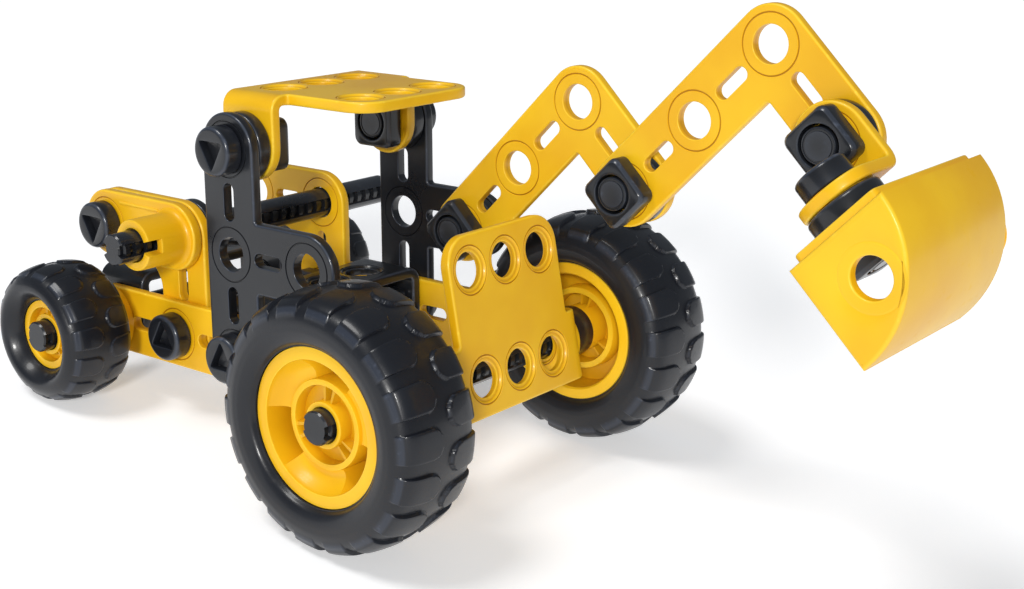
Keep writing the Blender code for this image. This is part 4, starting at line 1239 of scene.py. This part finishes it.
def back_rows(lip, outer, face, inner, floor_y, ring_back, hub_face):
    """The rim's inner side: flange, drum, floor with ribs and, on a deep rim, a ring, then hub."""
    bore = HOLE_R - STEP_IN
    hub_r = bore + HUB_WALL
    # Painted highlights on the rolled edges, painted shade on the floor and at the foot of the hub.
    rows = [(outer, face - ROLL, 0), (outer, inner + ROLL, 0),
            (outer - 0.3 * ROLL, inner + 0.3 * ROLL, 0.8), (outer - ROLL, inner, 0),
            (lip + ROLL, inner, 0), (lip, inner + ROLL, 0.6), (lip - 0.0004, floor_y, BACK_SHADE)]
    if ring_back:
        low_y = inner + BACK_RING_INSET
        heights = ((floor_y, BACK_SHADE), (low_y + ROLL, 0), (low_y, 0.6))
        flanks = [[(r, *height) for r, height in zip(radii, heights)] for radii in BACK_RING]
        rows += flanks[0] + flanks[1][::-1]
    ribbed = slice(len(rows), len(rows) + 5)
    rows += between(hub_r, rows[-1][0], floor_y, BACK_SHADE, 5)[::-1]
    rows += [(hub_r, floor_y, -0.5), (hub_r, inner + ROLL, 0.5), (hub_r - ROLL, inner, 0),
             (bore, inner, 0), (bore, hub_face - ROLL, 0)]
    rows = np.array(rows)
    across = np.tile(rows[:, 1], (AROUND, 1))
    if floor_y - inner > BACK_RIB_ROOM:
        across[:, ribbed] += (inner + BACK_RIB_INSET - floor_y) * ribs
    return rows[:, 0], across, rows[:, 2]


def rim_piece(node, body, hub, side, lip, hub_ring, recess, middle_ring=None, bowl=0.0, pocket=0.0):
    """Front and back surfaces of one rim, which meet at the flange and in the bore."""
    low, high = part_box(node)
    outer = 0.5 * (high.z - low.z)
    face, inner = (high.y, low.y) if side > 0 else (-low.y, -high.y)
    made = Moulding()
    r, depth, painted_light = front_rows(lip, outer, hub_ring, recess, middle_ring, bowl, pocket)
    made.turned(rim_turn, r, side * (face - depth), painted_light)
    floor_y = face - max(pocket, recess) - FLOOR_SHEET
    r, across, painted_light = back_rows(lip, outer, face, inner, floor_y, bool(middle_ring),
                                face - hub_ring[1])
    made.turned(rim_turn, r, side * across, painted_light)
    place = Place((hub[0], 0, hub[2]), FORWARD, ABOVE, ACROSS)
    made.finish(place, node, body, *YELLOW, crease=RIM_CREASE)


for label, side in (("left", -1), ("right", 1)):
    rim_piece(label + "_rear_rim", "rear_wheels", rear_hub, side, lip=0.0150,
              hub_ring=(0.0053, 0.0022), recess=0.0056, middle_ring=(0.0088, 0.0102, 0.0026),
              bowl=0.0032, pocket=0.0105)
    rim_piece(label + "_front_rim", "front_wheels", front_hub, side, lip=0.0070,
              hub_ring=(0.0053, 0.0004), recess=0.0026)
print("rims made: 4")

# %% [markdown]
# ## Room, lights and camera
# A pale floor that glows a little meets a white background, so the toy stands on white. Two soft
# suns light it, one high on the left and one low in front on the right, and a faint blue room
# gives the dark plastic its bluish sheen. Lamps in the room would need placing again for each
# pose; suns light every pose alike.

# %% Floor
FLOOR_HALF = 6.0
FLOOR_GLOW = 0.34
floor_mesh = bpy.data.meshes.new("floor")
corners = [(a * FLOOR_HALF, b * FLOOR_HALF, 0) for a, b in ((-1, -1), (1, -1), (1, 1), (-1, 1))]
floor_mesh.from_pydata(corners, [], [(0, 1, 2, 3)])
floor = bpy.data.objects.new("floor", floor_mesh)
bpy.context.scene.collection.objects.link(floor)
floor_material = bpy.data.materials.new("pale_floor")
floor_material.use_nodes = True
floor_shader = floor_material.node_tree.nodes["Principled BSDF"].inputs
floor_shader["Base Color"].default_value = (0.93, 0.93, 0.94, 1)
floor_shader["Roughness"].default_value = 0.9
floor_shader["Specular IOR Level"].default_value = 0.0
floor_shader["Emission Color"].default_value = (1.0, 1.0, 1.0, 1)
floor_shader["Emission Strength"].default_value = FLOOR_GLOW
floor_mesh.materials.append(floor_material)
print("floor", 2 * FLOOR_HALF, "m wide")

# %% Background
ROOM_GLOW = 0.22
world = bpy.data.worlds.new("studio")
bpy.context.scene.world = world
world.use_nodes = True
backdrop = Wire(world.node_tree)
seen = backdrop.make("ShaderNodeLightPath")
room = backdrop.make("ShaderNodeBackground", (),
                     {"Color": (0.80, 0.89, 1.0, 1), "Strength": ROOM_GLOW})
white = backdrop.make("ShaderNodeBackground", (), {"Color": (1.0, 1.0, 1.0, 1), "Strength": 1.0})
either = backdrop.make("ShaderNodeMixShader", (), {0: seen, 1: room, 2: white})
world.node_tree.links.new(either.socket, world.node_tree.nodes["World Output"].inputs["Surface"])
print("room light", ROOM_GLOW)


# %% Lights
def soft_sun(name, azimuth, elevation, strength, softness, colour):
    """Even light from a direction given in degrees, with a soft edge to its shadows."""
    light = bpy.data.lights.new(name, "SUN")
    light.energy = strength
    light.angle = math.radians(softness)
    light.color = colour
    lamp = bpy.data.objects.new(name, light)
    a, e = math.radians(azimuth), math.radians(elevation)
    toward = Vector((math.sin(a) * math.cos(e), -math.cos(a) * math.cos(e), math.sin(e)))
    lamp.rotation_euler = toward.to_track_quat("Z", "Y").to_euler()
    bpy.context.scene.collection.objects.link(lamp)


soft_sun("overhead", -30.0, 62.0, 1.25, 20.0, (1.0, 0.99, 0.97))
soft_sun("front", 33.0, 22.0, 2.0, 9.0, (1.0, 0.985, 0.96))
print("suns: 2")

# %% Camera
CAMERA_PLACE = (0.21519, -0.27358, 0.17146)
CAMERA_TURN = (70.262, -5.295, 38.606)
LENS = 54.98
camera_data = bpy.data.cameras.new("camera")
camera_data.lens = LENS
camera_data.clip_start = 0.01
camera = bpy.data.objects.new("camera", camera_data)
camera.location = CAMERA_PLACE
camera.rotation_euler = Euler([math.radians(a) for a in CAMERA_TURN], "XYZ")
bpy.context.scene.collection.objects.link(camera)
bpy.context.scene.camera = camera
bpy.context.scene.view_settings.view_transform = "Standard"
print("camera %.2f m from the toy" % np.linalg.norm(CAMERA_PLACE))
